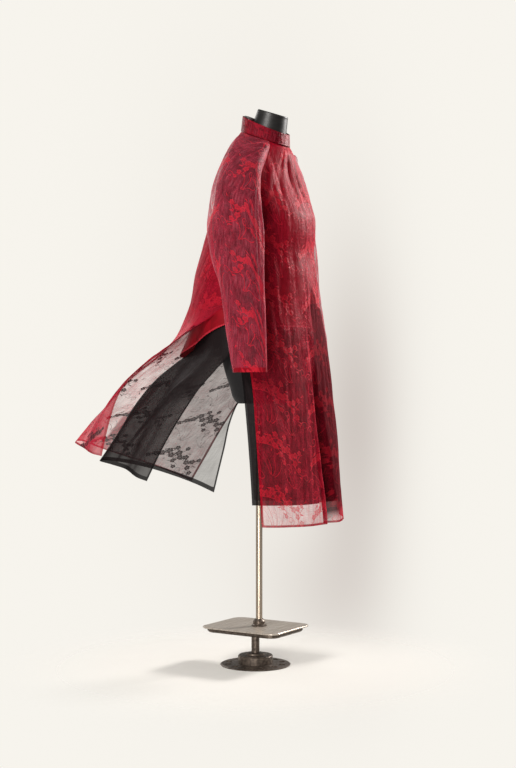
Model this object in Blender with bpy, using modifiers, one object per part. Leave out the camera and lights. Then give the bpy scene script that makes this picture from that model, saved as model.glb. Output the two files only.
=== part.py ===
"""Ao dai tunic with an inner tunic and a bodice lining, worn by a limbless dress form.

Frame: +Z up, the wearer faces -Y, the wearer's right hand is at -X, the origin is the centre
of the stand's underside.  All lengths are metres, all angles are degrees.
"""
import math

import bmesh
import bpy
import numpy as np

# ---- driving sizes ---------------------------------------------------------------------
CLOTH = 0.0011            # wall of every cloth piece
SEAM = 0.0006             # parting between two pieces at a seam
ARM_SEAM = 0.0013         # parting of the middle surfaces where a sleeve turns off a panel
GAP = 0.0003              # parting between two hard pieces
H_NECK = 1.426            # body height of the neck seam
PANEL_COLUMNS = 14        # quads across the front or the back
NECK_STEPS = 4            # sleeve columns across the shoulder at the neck
CUFF_Z = 0.790
NECK_CENTRE_Y = -0.035
RAISE = 0.011             # heights of the form and the cloth are measured from this level
# Neck cap: centre and radius of its foot and of its sloping head.
CAP = dict(foot_y=-0.0435, foot_radius=0.0470, head_y=-0.0566, head_radius=0.0410,
           head_z=1.5100, slope=0.345)

# Dress form: half width and the two depths (from y = 0) of each level section.
FORM = (
    # height  half_w  front    back
    (1.4500, 0.0510, -0.0915, 0.0090),
    (1.4370, 0.0560, -0.0915, 0.0205),
    (1.4245, 0.0630, -0.0935, 0.0300),
    (1.4150, 0.0740, -0.0975, 0.0365),
    (1.4050, 0.0815, -0.1000, 0.0410),
    (1.3900, 0.0950, -0.1005, 0.0440),
    (1.3700, 0.1130, -0.1020, 0.0490),
    (1.3450, 0.1330, -0.1060, 0.0550),
    (1.3100, 0.1490, -0.1150, 0.0650),
    (1.2700, 0.1500, -0.1270, 0.0740),
    (1.2300, 0.1450, -0.1390, 0.0800),
    (1.1950, 0.1410, -0.1470, 0.0800),
    (1.1200, 0.1330, -0.1300, 0.0700),
    (1.0400, 0.1190, -0.1150, 0.0560),
    (0.9600, 0.1380, -0.1240, 0.0720),
    (0.8800, 0.1540, -0.1340, 0.0800),
    (0.8100, 0.1570, -0.1400, 0.0620),
    (0.7500, 0.1500, -0.1380, 0.0400),
    (0.7200, 0.1420, -0.1300, 0.0290),
    (0.7080, 0.1320, -0.1200, 0.0190),
)
# Inner tunic: lies on the form at the shoulders, hangs clear of it below the armpit.
INNER = (
    # height  half_w  front    back
    (1.4400, 0.0560, -0.0895, 0.0230),
    (1.4245, 0.0630, -0.0935, 0.0300),
    (1.4150, 0.0740, -0.0975, 0.0365),
    (1.4050, 0.0815, -0.1000, 0.0410),
    (1.3900, 0.0950, -0.1005, 0.0440),
    (1.3700, 0.1130, -0.1020, 0.0490),
    (1.3450, 0.1330, -0.1060, 0.0555),
    (1.3100, 0.1515, -0.1155, 0.0670),
    (1.2700, 0.1545, -0.1290, 0.0780),
    (1.2300, 0.1515, -0.1430, 0.0890),
    (1.1950, 0.1490, -0.1530, 0.1050),
    (1.1200, 0.1550, -0.1450, 0.1280),
    (1.0400, 0.1690, -0.1490, 0.1450),
    (0.9800, 0.1790, -0.1500, 0.1515),
    (0.9400, 0.1830, -0.1520, 0.1560),
)
# How far each layer's middle stands off the inner tunic's base surface.
LAYER = (
    # height  inner   lining  outer
    (1.4500, 0.0020, 0.0040, 0.0060),
    (1.3400, 0.0020, 0.0041, 0.0064),
    (1.2500, 0.0020, 0.0064, 0.0102),
    (1.1200, 0.0020, 0.0065, 0.0120),
    (0.9800, 0.0020, 0.0080, 0.0180),
    (0.9400, 0.0020, 0.0080, 0.0180),
)
LAYER_COLUMN = {"inner": 1, "lining": 2, "outer": 3}
# Lean of the sections: z rises by this much per metre towards the back.
TILT = (
    # height  rise
    (1.5200, 0.400),
    (1.4500, 0.400),
    (1.4240, 0.400),
    (1.3900, 0.260),
    (1.3450, 0.130),
    (1.2700, 0.040),
    (1.2000, 0.000),
    (0.9000, 0.000),
)
# Height of the armpit of each layer: the inner armhole is smaller and sits higher.
ARMPIT = {"inner": 1.248, "lining": 1.215, "outer": 1.215}
# Rows of every panel from neck to slit, with the angle of the front seam from the centre
# front: the raglan seam above the armhole's curve, the side seam below the armpit.  The last
# row is where the side slits begin.
ROWS = (
    # height  seam
    (1.4260, 49.0),
    (1.4080, 46.0),
    (1.3880, 44.5),
    (1.3580, 44.5),
    (1.3220, 47.5),
    (1.2850, 51.5),
    (1.2660, 60.0),
    (1.2480, 87.0),
    (1.2310, 87.0),
    (1.2150, 87.0),
    (1.1700, 86.0),
    (1.1200, 82.5),
    (1.0500, 77.0),
    (0.9800, 72.0),
)
# The seam above the armpit: it curves in over "reach", and from "raglan" up it is never
# further front than the table of rows.
ARMHOLE = dict(reach=0.090, least=50.0, most=86.0, raglan=0.050)
# Sleeves: centre of each level section, half width across (x) and half depth (y).
SLEEVE = (
    # height  centre_x right_y  left_y  half_w  half_d
    (1.1750, 0.2070, -0.0650, 0.0160, 0.0380, 0.0830),
    (1.1000, 0.2170, -0.0785, 0.0100, 0.0360, 0.0800),
    (1.0380, 0.2280, -0.0960, 0.0010, 0.0340, 0.0700),
    (0.9960, 0.2350, -0.1090, -0.0080, 0.0310, 0.0640),
    (0.9220, 0.2400, -0.1188, -0.0200, 0.0280, 0.0610),
    (0.8670, 0.2420, -0.1265, -0.0330, 0.0260, 0.0565),
    (0.7900, 0.2440, -0.1371, -0.0450, 0.0225, 0.0500),
)
UNDERARM = 0.016           # how far the sleeve leaves the body under the arm
INNER_SLEEVE_W = 0.72      # inner sleeve, share of the outer half width
INNER_SLEEVE_D = 0.80      # inner sleeve, share of the outer half depth
# Where the lines of a panel run below the slits: each row is one line down the cloth, each
# entry a point (x, y, z) at equal lengths along it; the first point is on the body section.
OUTER_BACK = {
    "right_edge": ((-0.194, -0.030, 0.975), (-0.192, 0.068, 0.915), (-0.172, 0.177, 0.862),
                   (-0.147, 0.275, 0.812), (-0.137, 0.358, 0.750), (-0.132, 0.404, 0.662),
                   (-0.130, 0.433, 0.5555)),
    "near_wall": ((-0.140, 0.118, 0.975), (-0.120, 0.168, 0.893), (-0.096, 0.262, 0.832),
                  (-0.086, 0.356, 0.778), (-0.093, 0.427, 0.708), (-0.100, 0.484, 0.640),
                  (-0.105, 0.516, 0.574)),
    "back_fold": ((0.000, 0.165, 0.975), (-0.005, 0.218, 0.896), (-0.010, 0.300, 0.828),
                  (-0.020, 0.386, 0.765), (-0.030, 0.460, 0.700), (-0.040, 0.528, 0.645),
                  (-0.050, 0.583, 0.591)),
    "far_wall": ((0.140, 0.118, 0.975), (0.137, 0.182, 0.885), (0.127, 0.260, 0.805),
                 (0.112, 0.336, 0.730), (0.096, 0.412, 0.665), (0.072, 0.490, 0.610),
                 (0.050, 0.560, 0.563)),
    "left_edge": ((0.190, -0.030, 0.975), (0.189, 0.030, 0.890), (0.185, 0.090, 0.810),
                  (0.177, 0.150, 0.735), (0.167, 0.205, 0.660), (0.155, 0.258, 0.570),
                  (0.140, 0.310, 0.474)),
}
INNER_BACK = {
    "right_edge": ((-0.174, -0.050, 0.975), (-0.178, -0.039, 0.853), (-0.177, 0.046, 0.765),
                   (-0.161, 0.130, 0.678), (-0.140, 0.209, 0.588), (-0.120, 0.282, 0.489)),
    "near_wall": ((-0.130, 0.108, 0.975), (-0.128, 0.077, 0.862), (-0.126, 0.165, 0.777),
                  (-0.120, 0.242, 0.692), (-0.110, 0.312, 0.602), (-0.100, 0.3645, 0.5157)),
    "back_fold": ((0.000, 0.153, 0.975), (-0.028, 0.166, 0.869), (-0.050, 0.258, 0.797),
                  (-0.057, 0.345, 0.716), (-0.062, 0.4156, 0.626), (-0.070, 0.4877, 0.5403)),
    "far_wall": ((0.130, 0.108, 0.975), (0.118, 0.126, 0.872), (0.100, 0.208, 0.780),
                 (0.085, 0.270, 0.690), (0.065, 0.325, 0.600), (0.045, 0.380, 0.511)),
    "left_edge": ((0.172, -0.040, 0.975), (0.171, 0.034, 0.877), (0.168, 0.102, 0.779),
                  (0.160, 0.174, 0.683), (0.153, 0.206, 0.560), (0.144, 0.233, 0.443)),
}
LINING_BACK = {
    "right_edge": ((-0.180, -0.048, 0.975), (-0.181, -0.042, 0.948), (-0.182, -0.036, 0.921)),
    "near_wall": ((-0.133, 0.112, 0.975), (-0.136, 0.103, 0.928), (-0.138, 0.092, 0.876)),
    "back_fold": ((0.000, 0.160, 0.975), (-0.018, 0.182, 0.905), (-0.036, 0.217, 0.833)),
    "far_wall": ((0.135, 0.112, 0.975), (0.134, 0.130, 0.928), (0.130, 0.154, 0.876)),
    "left_edge": ((0.180, -0.048, 0.975), (0.181, -0.036, 0.948), (0.181, -0.024, 0.921)),
}
OUTER_FRONT = {
    "right_edge": ((-0.188, -0.060, 0.975), (-0.196, -0.090, 0.880), (-0.200, -0.116, 0.770),
                   (-0.200, -0.128, 0.645), (-0.200, -0.137, 0.518), (-0.200, -0.145, 0.390)),
    "right_front": ((-0.100, -0.141, 0.975), (-0.108, -0.152, 0.880), (-0.108, -0.163, 0.770),
                    (-0.108, -0.173, 0.645), (-0.108, -0.181, 0.514), (-0.108, -0.186, 0.385)),
    "centre": ((0.000, -0.162, 0.975), (0.000, -0.170, 0.880), (0.000, -0.180, 0.770),
               (0.000, -0.189, 0.645), (0.000, -0.196, 0.512), (0.000, -0.200, 0.382)),
    "left_front": ((0.100, -0.141, 0.975), (0.106, -0.158, 0.880), (0.107, -0.176, 0.770),
                   (0.107, -0.192, 0.645), (0.105, -0.204, 0.514), (0.103, -0.212, 0.385)),
    "left_edge": ((0.188, -0.060, 0.975), (0.197, -0.086, 0.880), (0.201, -0.111, 0.770),
                  (0.202, -0.131, 0.645), (0.201, -0.144, 0.518), (0.200, -0.154, 0.394)),
}
INNER_FRONT = {
    "right_edge": ((-0.178, -0.058, 0.975), (-0.183, -0.080, 0.880), (-0.186, -0.101, 0.780),
                   (-0.187, -0.113, 0.670), (-0.187, -0.122, 0.560), (-0.187, -0.129, 0.445)),
    "right_front": ((-0.094, -0.132, 0.975), (-0.100, -0.139, 0.880), (-0.101, -0.149, 0.780),
                    (-0.101, -0.158, 0.670), (-0.101, -0.165, 0.558), (-0.101, -0.170, 0.441)),
    "centre": ((0.000, -0.152, 0.975), (0.000, -0.157, 0.880), (0.000, -0.166, 0.780),
               (0.000, -0.174, 0.670), (0.000, -0.180, 0.556), (0.000, -0.184, 0.438)),
    "left_front": ((0.094, -0.132, 0.975), (0.100, -0.143, 0.880), (0.101, -0.158, 0.780),
                   (0.101, -0.172, 0.670), (0.100, -0.183, 0.556), (0.098, -0.191, 0.441)),
    "left_edge": ((0.178, -0.058, 0.975), (0.184, -0.078, 0.880), (0.187, -0.099, 0.780),
                  (0.189, -0.115, 0.670), (0.188, -0.128, 0.560), (0.187, -0.137, 0.447)),
}
LINING_FRONT = {
    "right_edge": ((-0.180, -0.060, 0.975), (-0.182, -0.066, 0.948), (-0.184, -0.073, 0.919)),
    "right_front": ((-0.097, -0.137, 0.975), (-0.100, -0.140, 0.944), (-0.104, -0.143, 0.911)),
    "centre": ((0.000, -0.157, 0.975), (0.000, -0.160, 0.944), (0.000, -0.162, 0.912)),
    "left_front": ((0.097, -0.137, 0.975), (0.100, -0.142, 0.946), (0.104, -0.147, 0.917)),
    "left_edge": ((0.180, -0.060, 0.975), (0.182, -0.066, 0.950), (0.184, -0.073, 0.924)),
}
# Collars: radius of the top edge, rise of the band at the back and the front, lap in degrees.
COLLAR = {
    "outer": dict(top=0.0635, back=0.043, front=0.032, lap=9.0, columns=24),
    "inner": dict(top=0.0590, back=0.046, front=0.029, lap=0.0, columns=22),
}
# Stand
POLE_Y = -0.012
PLATE_Z = 0.1035
PLATE = dict(length=0.244, width=0.200, thick=0.004, corner=0.030, centre_y=-0.001)
TRAY = dict(length=0.228, width=0.170, thick=0.012, corner=0.028, centre_y=0.001)
BASE = dict(radius=0.0965, thick=0.0050, holes=12, hole_radius=0.0090, ring=0.0760)
DRUM_PROFILE = (
    # radius  height
    (0.0480, 0.0000),
    (0.0480, 0.0190),
    (0.0455, 0.0220),
    (0.0260, 0.0225),
    (0.0240, 0.0270),
    (0.0140, 0.0280),
)
COLUMN_RADIUS = 0.0110
POLE_RADIUS = 0.0090

# ---- curves through a table ------------------------------------------------------------


def cubic(knots, values, at):
    """Smooth curve through the rows of a table (cubic pieces that never overshoot)."""
    knots = np.asarray(knots, float)
    values = np.asarray(values, float)
    if knots[0] > knots[-1]:
        knots = knots[::-1]
        values = values[::-1]
    at = np.clip(np.asarray(at, float), knots[0], knots[-1])
    steps = np.diff(knots)
    rises = np.diff(values, axis=0) / steps.reshape((-1,) + (1,) * (values.ndim - 1))
    slopes = np.empty_like(values)
    slopes[0] = rises[0]
    slopes[-1] = rises[-1]
    before = steps[:-1].reshape((-1,) + (1,) * (values.ndim - 1))
    after = steps[1:].reshape((-1,) + (1,) * (values.ndim - 1))
    mean = (rises[:-1] * after + rises[1:] * before) / (before + after)
    same = rises[:-1] * rises[1:] > 0
    limit = 2.0 * np.minimum(np.abs(rises[:-1]), np.abs(rises[1:]))
    slopes[1:-1] = np.where(same, np.sign(mean) * np.minimum(np.abs(mean), limit), 0.0)
    k = np.clip(np.searchsorted(knots, at, side="right") - 1, 0, len(steps) - 1)
    shape = at.shape + (1,) * (values.ndim - 1)
    step = steps[k].reshape(shape)
    t = ((at - knots[k]) / steps[k]).reshape(shape)
    return (values[k] * (2 * t**3 - 3 * t**2 + 1) + slopes[k] * step * (t**3 - 2 * t**2 + t)
            + values[k + 1] * (3 * t**2 - 2 * t**3) + slopes[k + 1] * step * (t**3 - t**2))


def column(table, index, at):
    """One column of a height table, read at the heights given."""
    rows = np.asarray(table, float)
    return cubic(rows[:, 0], rows[:, index], at)


# ---- the body surface ------------------------------------------------------------------


def section_point(table, angle, height):
    """Point on a body section: angle 0 is centre front, +90 the wearer's left side."""
    half = column(table, 1, height)
    front = column(table, 2, height)
    back = column(table, 3, height)
    centre = (front + back) / 2
    depth = (back - front) / 2
    a = np.radians(angle)
    y = centre - depth * np.cos(a)
    return np.stack((half * np.sin(a), y, height + column(TILT, 1, height) * (y - centre)), -1)


def body_normal(table, angle, height):
    """Outward normal of the body surface, from its two tangents."""
    along = section_point(table, angle + 0.5, height) - section_point(table, angle - 0.5, height)
    up = section_point(table, angle, height + 0.002) - section_point(table, angle, height - 0.002)
    normal = np.cross(along, up)
    return normal / np.linalg.norm(normal, axis=-1, keepdims=True)


def layer_point(layer, angle, height):
    """Point on the middle surface of a cloth layer."""
    angle, height = np.broadcast_arrays(np.asarray(angle, float), np.asarray(height, float))
    off = column(LAYER, LAYER_COLUMN[layer], height)
    return section_point(INNER, angle, height) + body_normal(INNER, angle, height) * off[..., None]


def seam_rows(layer):
    """Height of each row of a panel, the front seam's angle and the back seam's angle."""
    rows = []
    for height, angle in ROWS:
        above = height - ARMPIT[layer]
        if above < -1e-6:
            part = math.degrees(SEAM / column(INNER, 1, height))
            rows.append((height, angle - part / 2, angle + part / 2))
            continue
        if above < ARMHOLE["reach"]:
            curve = (1.0 - above / ARMHOLE["reach"]) ** 2
            bend = ARMHOLE["least"] + (ARMHOLE["most"] - ARMHOLE["least"]) * curve
            angle = max(bend, angle) if above > ARMHOLE["raglan"] else bend
        rows.append((height, angle, 180.0 - angle))
    return np.array(rows)


def panel(layer, side, lines, rows_below):
    """Grid of a front or back panel: body rows to the slit, then rows along its lines."""
    rows = seam_rows(layer)
    heights = rows[:, 0]
    v = np.linspace(-1.0, 1.0, PANEL_COLUMNS + 1)
    if side == "front":
        edge = rows[:, 1][:, None]
        angle = edge * v
    else:
        edge = rows[:, 2][:, None]
        angle = np.where(v < 0, -180.0 - (180.0 - edge) * v, 180.0 - (180.0 - edge) * v)
    upper = layer_point(layer, angle, heights[:, None])
    names = list(lines)
    table = np.array([lines[name] for name in names])
    share = np.linspace(-1.0, 1.0, len(names))
    stations = np.linspace(0.0, 1.0, table.shape[1])
    start = cubic(v, upper[-1], share)
    moved = table - table[:, :1]
    t = np.linspace(0.0, 1.0, rows_below + 1)[1:]
    blend = (t ** 0.7)[:, None, None]
    offset = np.stack([cubic(stations, moved[i], t) for i in range(len(names))], 1)
    target = np.stack([cubic(stations, table[i], t) for i in range(len(names))], 1)
    offset = offset * (1 - blend) + (target - start[None]) * blend
    spread = np.stack([cubic(share, offset[k], v) for k in range(len(t))])
    lower = upper[-1][None] + spread
    return np.concatenate((upper, lower))


# ---- sleeves ---------------------------------------------------------------------------


def armhole(layer):
    """Closed loop of a right sleeve's top edge: armpit, up the front seam, neck, down the back."""
    rows = seam_rows(layer)
    rows = rows[rows[:, 0] > ARMPIT[layer] - 1e-6]
    heights, front, back = rows.T
    across = np.linspace(front[0], back[0], NECK_STEPS + 1)[1:-1]
    angle = -np.concatenate((front[::-1], across, back))
    height = np.concatenate((heights[::-1], np.full(len(across), heights[0]), heights))
    loop = layer_point(layer, angle, height)
    along = np.roll(loop, -1, 0) - np.roll(loop, 1, 0)
    inward = np.cross(along, body_normal(INNER, angle, height))
    inward /= np.linalg.norm(inward, axis=1, keepdims=True)
    if np.sum(inward * (loop.mean(0) - loop)) < 0:
        inward = -inward
    return loop + inward * ARM_SEAM


def sleeve(layer, left):
    """Grid of a sleeve: the armhole loop eased over the shoulder into level ovals."""
    loop = armhole(layer)
    count = len(loop)
    gaps = np.linalg.norm(np.diff(np.vstack((loop, loop[:1])), axis=0), axis=1)
    turn = np.concatenate(([0.0], np.cumsum(gaps)[:-1])) / gaps.sum()
    half_last = gaps[-1] / gaps.sum() / 2
    turn = (turn + half_last) * 2 * math.pi
    across = 1.0 if layer == "outer" else INNER_SLEEVE_W
    deep = 1.0 if layer == "outer" else INNER_SLEEVE_D

    def oval(height):
        cx = -column(SLEEVE, 1, height)
        cy = column(SLEEVE, 3 if left else 2, height)
        half = column(SLEEVE, 4, height) * across
        depth = column(SLEEVE, 5, height) * deep
        x = cx + half * np.cos(turn)
        y = cy - depth * np.sin(turn)
        return np.stack((x, y, np.full(count, height)), 1)

    first = oval(SLEEVE[0][0])
    turned = np.empty_like(loop)
    near_armpit = ((1 + np.cos(turn)) / 2) ** 3
    turned[:, 0] = loop[:, 0] + 0.72 * (first[:, 0] - loop[:, 0]) - UNDERARM * near_armpit
    turned[:, 1] = loop[:, 1] + 0.60 * (first[:, 1] - loop[:, 1])
    turned[:, 2] = loop[:, 2] + 0.20 * (first[:, 2] - loop[:, 2])
    rings = []
    for w in (0.0, 0.16, 0.34, 0.54, 0.76, 1.0):
        rings.append((1 - w) ** 2 * loop + 2 * w * (1 - w) * turned + w * w * first)
    for height in np.linspace(SLEEVE[0][0], CUFF_Z, 8)[1:]:
        rings.append(oval(height))
    grid = np.array(rings)
    if left:
        grid[..., 0] *= -1
    return grid


# ---- collars ---------------------------------------------------------------------------


def collar(layer):
    """Grid of a stand collar: from the neck seam up, open at the centre front, ends lapped."""
    size = COLLAR[layer]
    angle = np.linspace(-size["lap"], 360.0 + size["lap"], size["columns"] + 1)
    if not size["lap"]:
        angle = np.linspace(2.0, 358.0, size["columns"] + 1)
    turn = np.radians(angle)
    lift = 0.0024 * np.clip((angle - 180.0) / 180.0, 0.0, 1.0)
    if not size["lap"]:
        lift = np.zeros_like(lift)
    foot = layer_point(layer, angle, np.full(len(angle), H_NECK + 0.0006))
    foot[:, 2] += SEAM
    radius = size["top"] + lift
    rise = size["front"] + (size["back"] - size["front"]) * (1 - np.cos(turn)) / 2
    head = np.stack((radius * np.sin(turn), NECK_CENTRE_Y - radius * np.cos(turn),
                     foot[:, 2] + rise), 1)
    out = np.stack((np.sin(turn), -np.cos(turn), 0 * turn), 1)
    foot = foot + out * lift[:, None]
    shares = np.linspace(0.0, 1.0, 3)[:, None, None]
    return foot * (1 - shares) + head * shares


# ---- making objects --------------------------------------------------------------------


def material(name, colour, roughness, metallic=0.0):
    made = bpy.data.materials.new(name)
    made.use_nodes = True
    shader = made.node_tree.nodes["Principled BSDF"]
    shader.inputs["Base Color"].default_value = (*colour, 1.0)
    shader.inputs["Roughness"].default_value = roughness
    shader.inputs["Metallic"].default_value = metallic
    return made


def place(obj, group, look):
    for other in list(obj.users_collection):
        other.objects.unlink(obj)
    group.objects.link(obj)
    obj.data.materials.clear()
    obj.data.materials.append(look)
    return obj


def grid_mesh(name, grid, closed):
    """Open surface from a grid of points; closed joins the last column to the first."""
    rows, cols = grid.shape[:2]
    points = grid.reshape(-1, 3)
    i = np.arange(rows - 1)[:, None]
    j = np.arange(cols if closed else cols - 1)[None, :]
    k = (j + 1) % cols
    faces = np.stack((i * cols + j, i * cols + k, (i + 1) * cols + k, (i + 1) * cols + j), -1)
    mesh = bpy.data.meshes.new(name)
    mesh.from_pydata(points.tolist(), [], faces.reshape(-1, 4).tolist())
    mesh.validate()
    mesh.shade_smooth()
    return mesh


def cloth(name, grid, look, group, closed=False, flip=False):
    """A cloth piece: an open surface thickened to the cloth's wall."""
    grid = grid + np.array((0.0, 0.0, RAISE))
    if flip:
        grid = grid[:, ::-1]
    obj = bpy.data.objects.new(name, grid_mesh(name, grid, closed))
    place(obj, group, look)
    wall = obj.modifiers.new("wall", "SOLIDIFY")
    wall.thickness = CLOTH
    wall.offset = 0.0
    wall.use_even_offset = False
    return obj


def turned(name, profile, look, group, centre=(0.0, 0.0, 0.0), steps=32):
    """A turned solid: a profile that starts and ends on the axis, with a Screw modifier."""
    points = [(0.0, 0.0, profile[0][1])] + [(r, 0.0, z) for r, z in profile]
    points.append((0.0, 0.0, profile[-1][1]))
    points.reverse()
    mesh = bpy.data.meshes.new(name)
    mesh.from_pydata(points, [(k, k + 1) for k in range(len(points) - 1)], [])
    obj = bpy.data.objects.new(name, mesh)
    obj.location = centre
    place(obj, group, look)
    spin = obj.modifiers.new("turn", "SCREW")
    spin.axis = "Z"
    spin.steps = steps
    spin.render_steps = steps
    spin.use_merge_vertices = True
    spin.merge_threshold = 0.00001
    spin.use_normal_calculate = False
    return obj


def slab(name, size, top, look, group, bevel=0.0008):
    """A flat plate with rounded corners: a box whose upright edges and rims are bevelled."""
    made = bmesh.new()
    bmesh.ops.create_cube(made, size=1.0)
    bmesh.ops.scale(made, vec=(size["width"], size["length"], size["thick"]), verts=made.verts)
    upright = [e for e in made.edges
               if abs(e.verts[0].co.z - e.verts[1].co.z) > size["thick"] / 2]
    bmesh.ops.bevel(made, geom=upright, offset=size["corner"], segments=5, affect="EDGES",
                    profile=0.5)
    mesh = bpy.data.meshes.new(name)
    made.to_mesh(mesh)
    made.free()
    obj = bpy.data.objects.new(name, mesh)
    obj.location = (0.0, size["centre_y"], top - size["thick"] / 2)
    place(obj, group, look)
    rim = obj.modifiers.new("rim", "BEVEL")
    rim.width = bevel
    rim.segments = 1
    rim.limit_method = "ANGLE"
    rim.angle_limit = math.radians(60.0)
    return obj


def form_torso(look, group):
    """The limbless form: level sections lofted from neck to thigh, both ends closed."""
    neck = [row[0] for row in FORM if row[0] > H_NECK + 0.005]
    shoulder = [row[0] for row in ROWS if row[0] > 1.2]
    trunk = [row[0] for row in FORM if row[0] < 1.2]
    heights = np.array(neck + shoulder + trunk)
    angle = np.arange(0.0, 360.0, 360.0 / 30)
    rings = section_point(FORM, angle[None, :], heights[:, None])
    count = len(angle)
    points = rings.reshape(-1, 3) + np.array((0.0, 0.0, RAISE))
    faces = []
    for i in range(len(heights) - 1):
        for j in range(count):
            k = (j + 1) % count
            faces.append((i * count + k, i * count + j, (i + 1) * count + j, (i + 1) * count + k))
    faces.append(tuple(range(count)))
    last = (len(heights) - 1) * count
    faces.append(tuple(last + count - 1 - j for j in range(count)))
    mesh = bpy.data.meshes.new("form_torso")
    mesh.from_pydata(points.tolist(), [], faces)
    made = bmesh.new()
    made.from_mesh(mesh)
    bmesh.ops.recalc_face_normals(made, faces=made.faces)
    made.to_mesh(mesh)
    made.free()
    mesh.shade_smooth()
    return place(bpy.data.objects.new("form_torso", mesh), group, look)


def neck_cap(look, group):
    """Cap on the neck: a tapered drum that leans forwards, its flat top sloping to the front."""
    made = bmesh.new()
    bmesh.ops.create_cone(made, cap_ends=True, segments=30, radius1=CAP["foot_radius"],
                          radius2=CAP["head_radius"], depth=0.020)
    height, _, front, back = FORM[0]
    foot = height + RAISE + GAP
    for vert in made.verts:
        low = vert.co.z < 0
        vert.co.y += CAP["foot_y"] if low else CAP["head_y"]
        if low:
            vert.co.z = foot + column(TILT, 1, height) * (vert.co.y - (front + back) / 2)
        else:
            vert.co.z = CAP["head_z"] + CAP["slope"] * (vert.co.y - CAP["head_y"])
    mesh = bpy.data.meshes.new("form_neck_cap")
    made.to_mesh(mesh)
    made.free()
    obj = place(bpy.data.objects.new("form_neck_cap", mesh), group, look)
    rim = obj.modifiers.new("rim", "BEVEL")
    rim.width = 0.003
    rim.segments = 2
    rim.limit_method = "ANGLE"
    rim.angle_limit = math.radians(50.0)
    return obj


def base_disc(look, group, cutters, cutter_look):
    """The pierced base: a disc with a ring of round holes cut through it."""
    rim = 0.0015
    profile = ((BASE["radius"] - rim, 0.0), (BASE["radius"], rim),
               (BASE["radius"], BASE["thick"] - 2 * rim),
               (BASE["radius"] - 2 * rim, BASE["thick"] - rim), (0.0500, BASE["thick"]))
    disc = turned("stand_base", profile, look, group, steps=40)
    made = bmesh.new()
    for k in range(BASE["holes"]):
        turn = 2 * math.pi * (k + 0.5) / BASE["holes"]
        drum = bmesh.ops.create_cone(made, cap_ends=True, segments=10,
                                     radius1=BASE["hole_radius"], radius2=BASE["hole_radius"],
                                     depth=0.04)
        bmesh.ops.translate(made, verts=drum["verts"],
                            vec=(BASE["ring"] * math.cos(turn), BASE["ring"] * math.sin(turn), 0))
    mesh = bpy.data.meshes.new("base_holes")
    made.to_mesh(mesh)
    made.free()
    drill = place(bpy.data.objects.new("base_holes", mesh), cutters, cutter_look)
    drill.hide_render = True
    drill.display_type = "WIRE"
    cut = disc.modifiers.new("holes", "BOOLEAN")
    cut.operation = "DIFFERENCE"
    cut.object = drill
    return disc


# ---- the object ------------------------------------------------------------------------


def build():
    for old in list(bpy.data.objects):
        bpy.data.objects.remove(old)
    group = bpy.data.collections.new("ao_dai_tunic_on_dress_form")
    cutters = bpy.data.collections.new("cutters")
    bpy.context.scene.collection.children.link(group)
    bpy.context.scene.collection.children.link(cutters)

    red = material("red_organza", (0.42, 0.012, 0.030), 0.45)
    crimson = material("red_lining", (0.50, 0.010, 0.022), 0.50)
    black = material("black_organza", (0.018, 0.016, 0.018), 0.50)
    jersey = material("form_cover", (0.012, 0.012, 0.012), 0.60)
    plastic = material("neck_cap_plastic", (0.015, 0.015, 0.016), 0.35)
    brass = material("pole_brass", (0.52, 0.36, 0.16), 0.30, 1.0)
    steel = material("plate_steel", (0.45, 0.43, 0.40), 0.30, 1.0)
    iron = material("base_iron", (0.075, 0.062, 0.050), 0.45, 1.0)

    form_torso(jersey, group)
    neck_cap(plastic, group)

    cloth("tunic_front", panel("outer", "front", OUTER_FRONT, 9), red, group, flip=False)
    cloth("tunic_back", panel("outer", "back", OUTER_BACK, 11), red, group, flip=False)
    cloth("tunic_sleeve_right", sleeve("outer", False), red, group, closed=True)
    cloth("tunic_sleeve_left", sleeve("outer", True), red, group, closed=True, flip=True)
    cloth("tunic_collar", collar("outer"), red, group)
    cloth("lining_front", panel("lining", "front", LINING_FRONT, 2), crimson, group)
    cloth("lining_back", panel("lining", "back", LINING_BACK, 3), crimson, group)
    cloth("inner_front", panel("inner", "front", INNER_FRONT, 8), black, group)
    cloth("inner_back", panel("inner", "back", INNER_BACK, 9), black, group)
    cloth("inner_sleeve_right", sleeve("inner", False), black, group, closed=True)
    cloth("inner_sleeve_left", sleeve("inner", True), black, group, closed=True, flip=True)
    cloth("inner_collar", collar("inner"), black, group)

    form_bottom = FORM[-1][0] + RAISE
    plate_top = PLATE_Z + PLATE["thick"]
    tray_top = PLATE_Z - GAP
    tray_bottom = tray_top - TRAY["thick"]
    flange_top = tray_bottom - GAP
    drum_base = BASE["thick"] + GAP
    drum_top = drum_base + DRUM_PROFILE[-1][1]
    collar_base = plate_top + GAP
    pole_base = collar_base + 0.019 + GAP
    turned("stand_pole", ((POLE_RADIUS, 0.0), (POLE_RADIUS, form_bottom - GAP - pole_base)),
           brass, group, (0.0, POLE_Y, pole_base), 20)
    turned("stand_pole_collar", ((0.0210, 0.0), (0.0210, 0.0025), (0.0165, 0.0050),
                                 (0.0165, 0.0130), (0.0120, 0.0190)),
           iron, group, (0.0, POLE_Y, collar_base), 24)
    slab("stand_plate", PLATE, plate_top, steel, group)
    slab("stand_tray", TRAY, tray_top, iron, group, 0.004)
    turned("stand_flange", ((0.0180, 0.0), (0.0255, 0.0050), (0.0255, 0.0110)), iron, group,
           (0.0, -0.006, flange_top - 0.0110), 24)
    column_top = flange_top - 0.0110 - GAP
    turned("stand_column", ((COLUMN_RADIUS, 0.0), (COLUMN_RADIUS, column_top - drum_top - GAP)),
           iron, group, (0.0, 0.0, drum_top + GAP), 20)
    turned("stand_drum", DRUM_PROFILE, iron, group, (0.0, 0.0, drum_base), 40)
    base_disc(iron, group, cutters, iron)


build()
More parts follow.
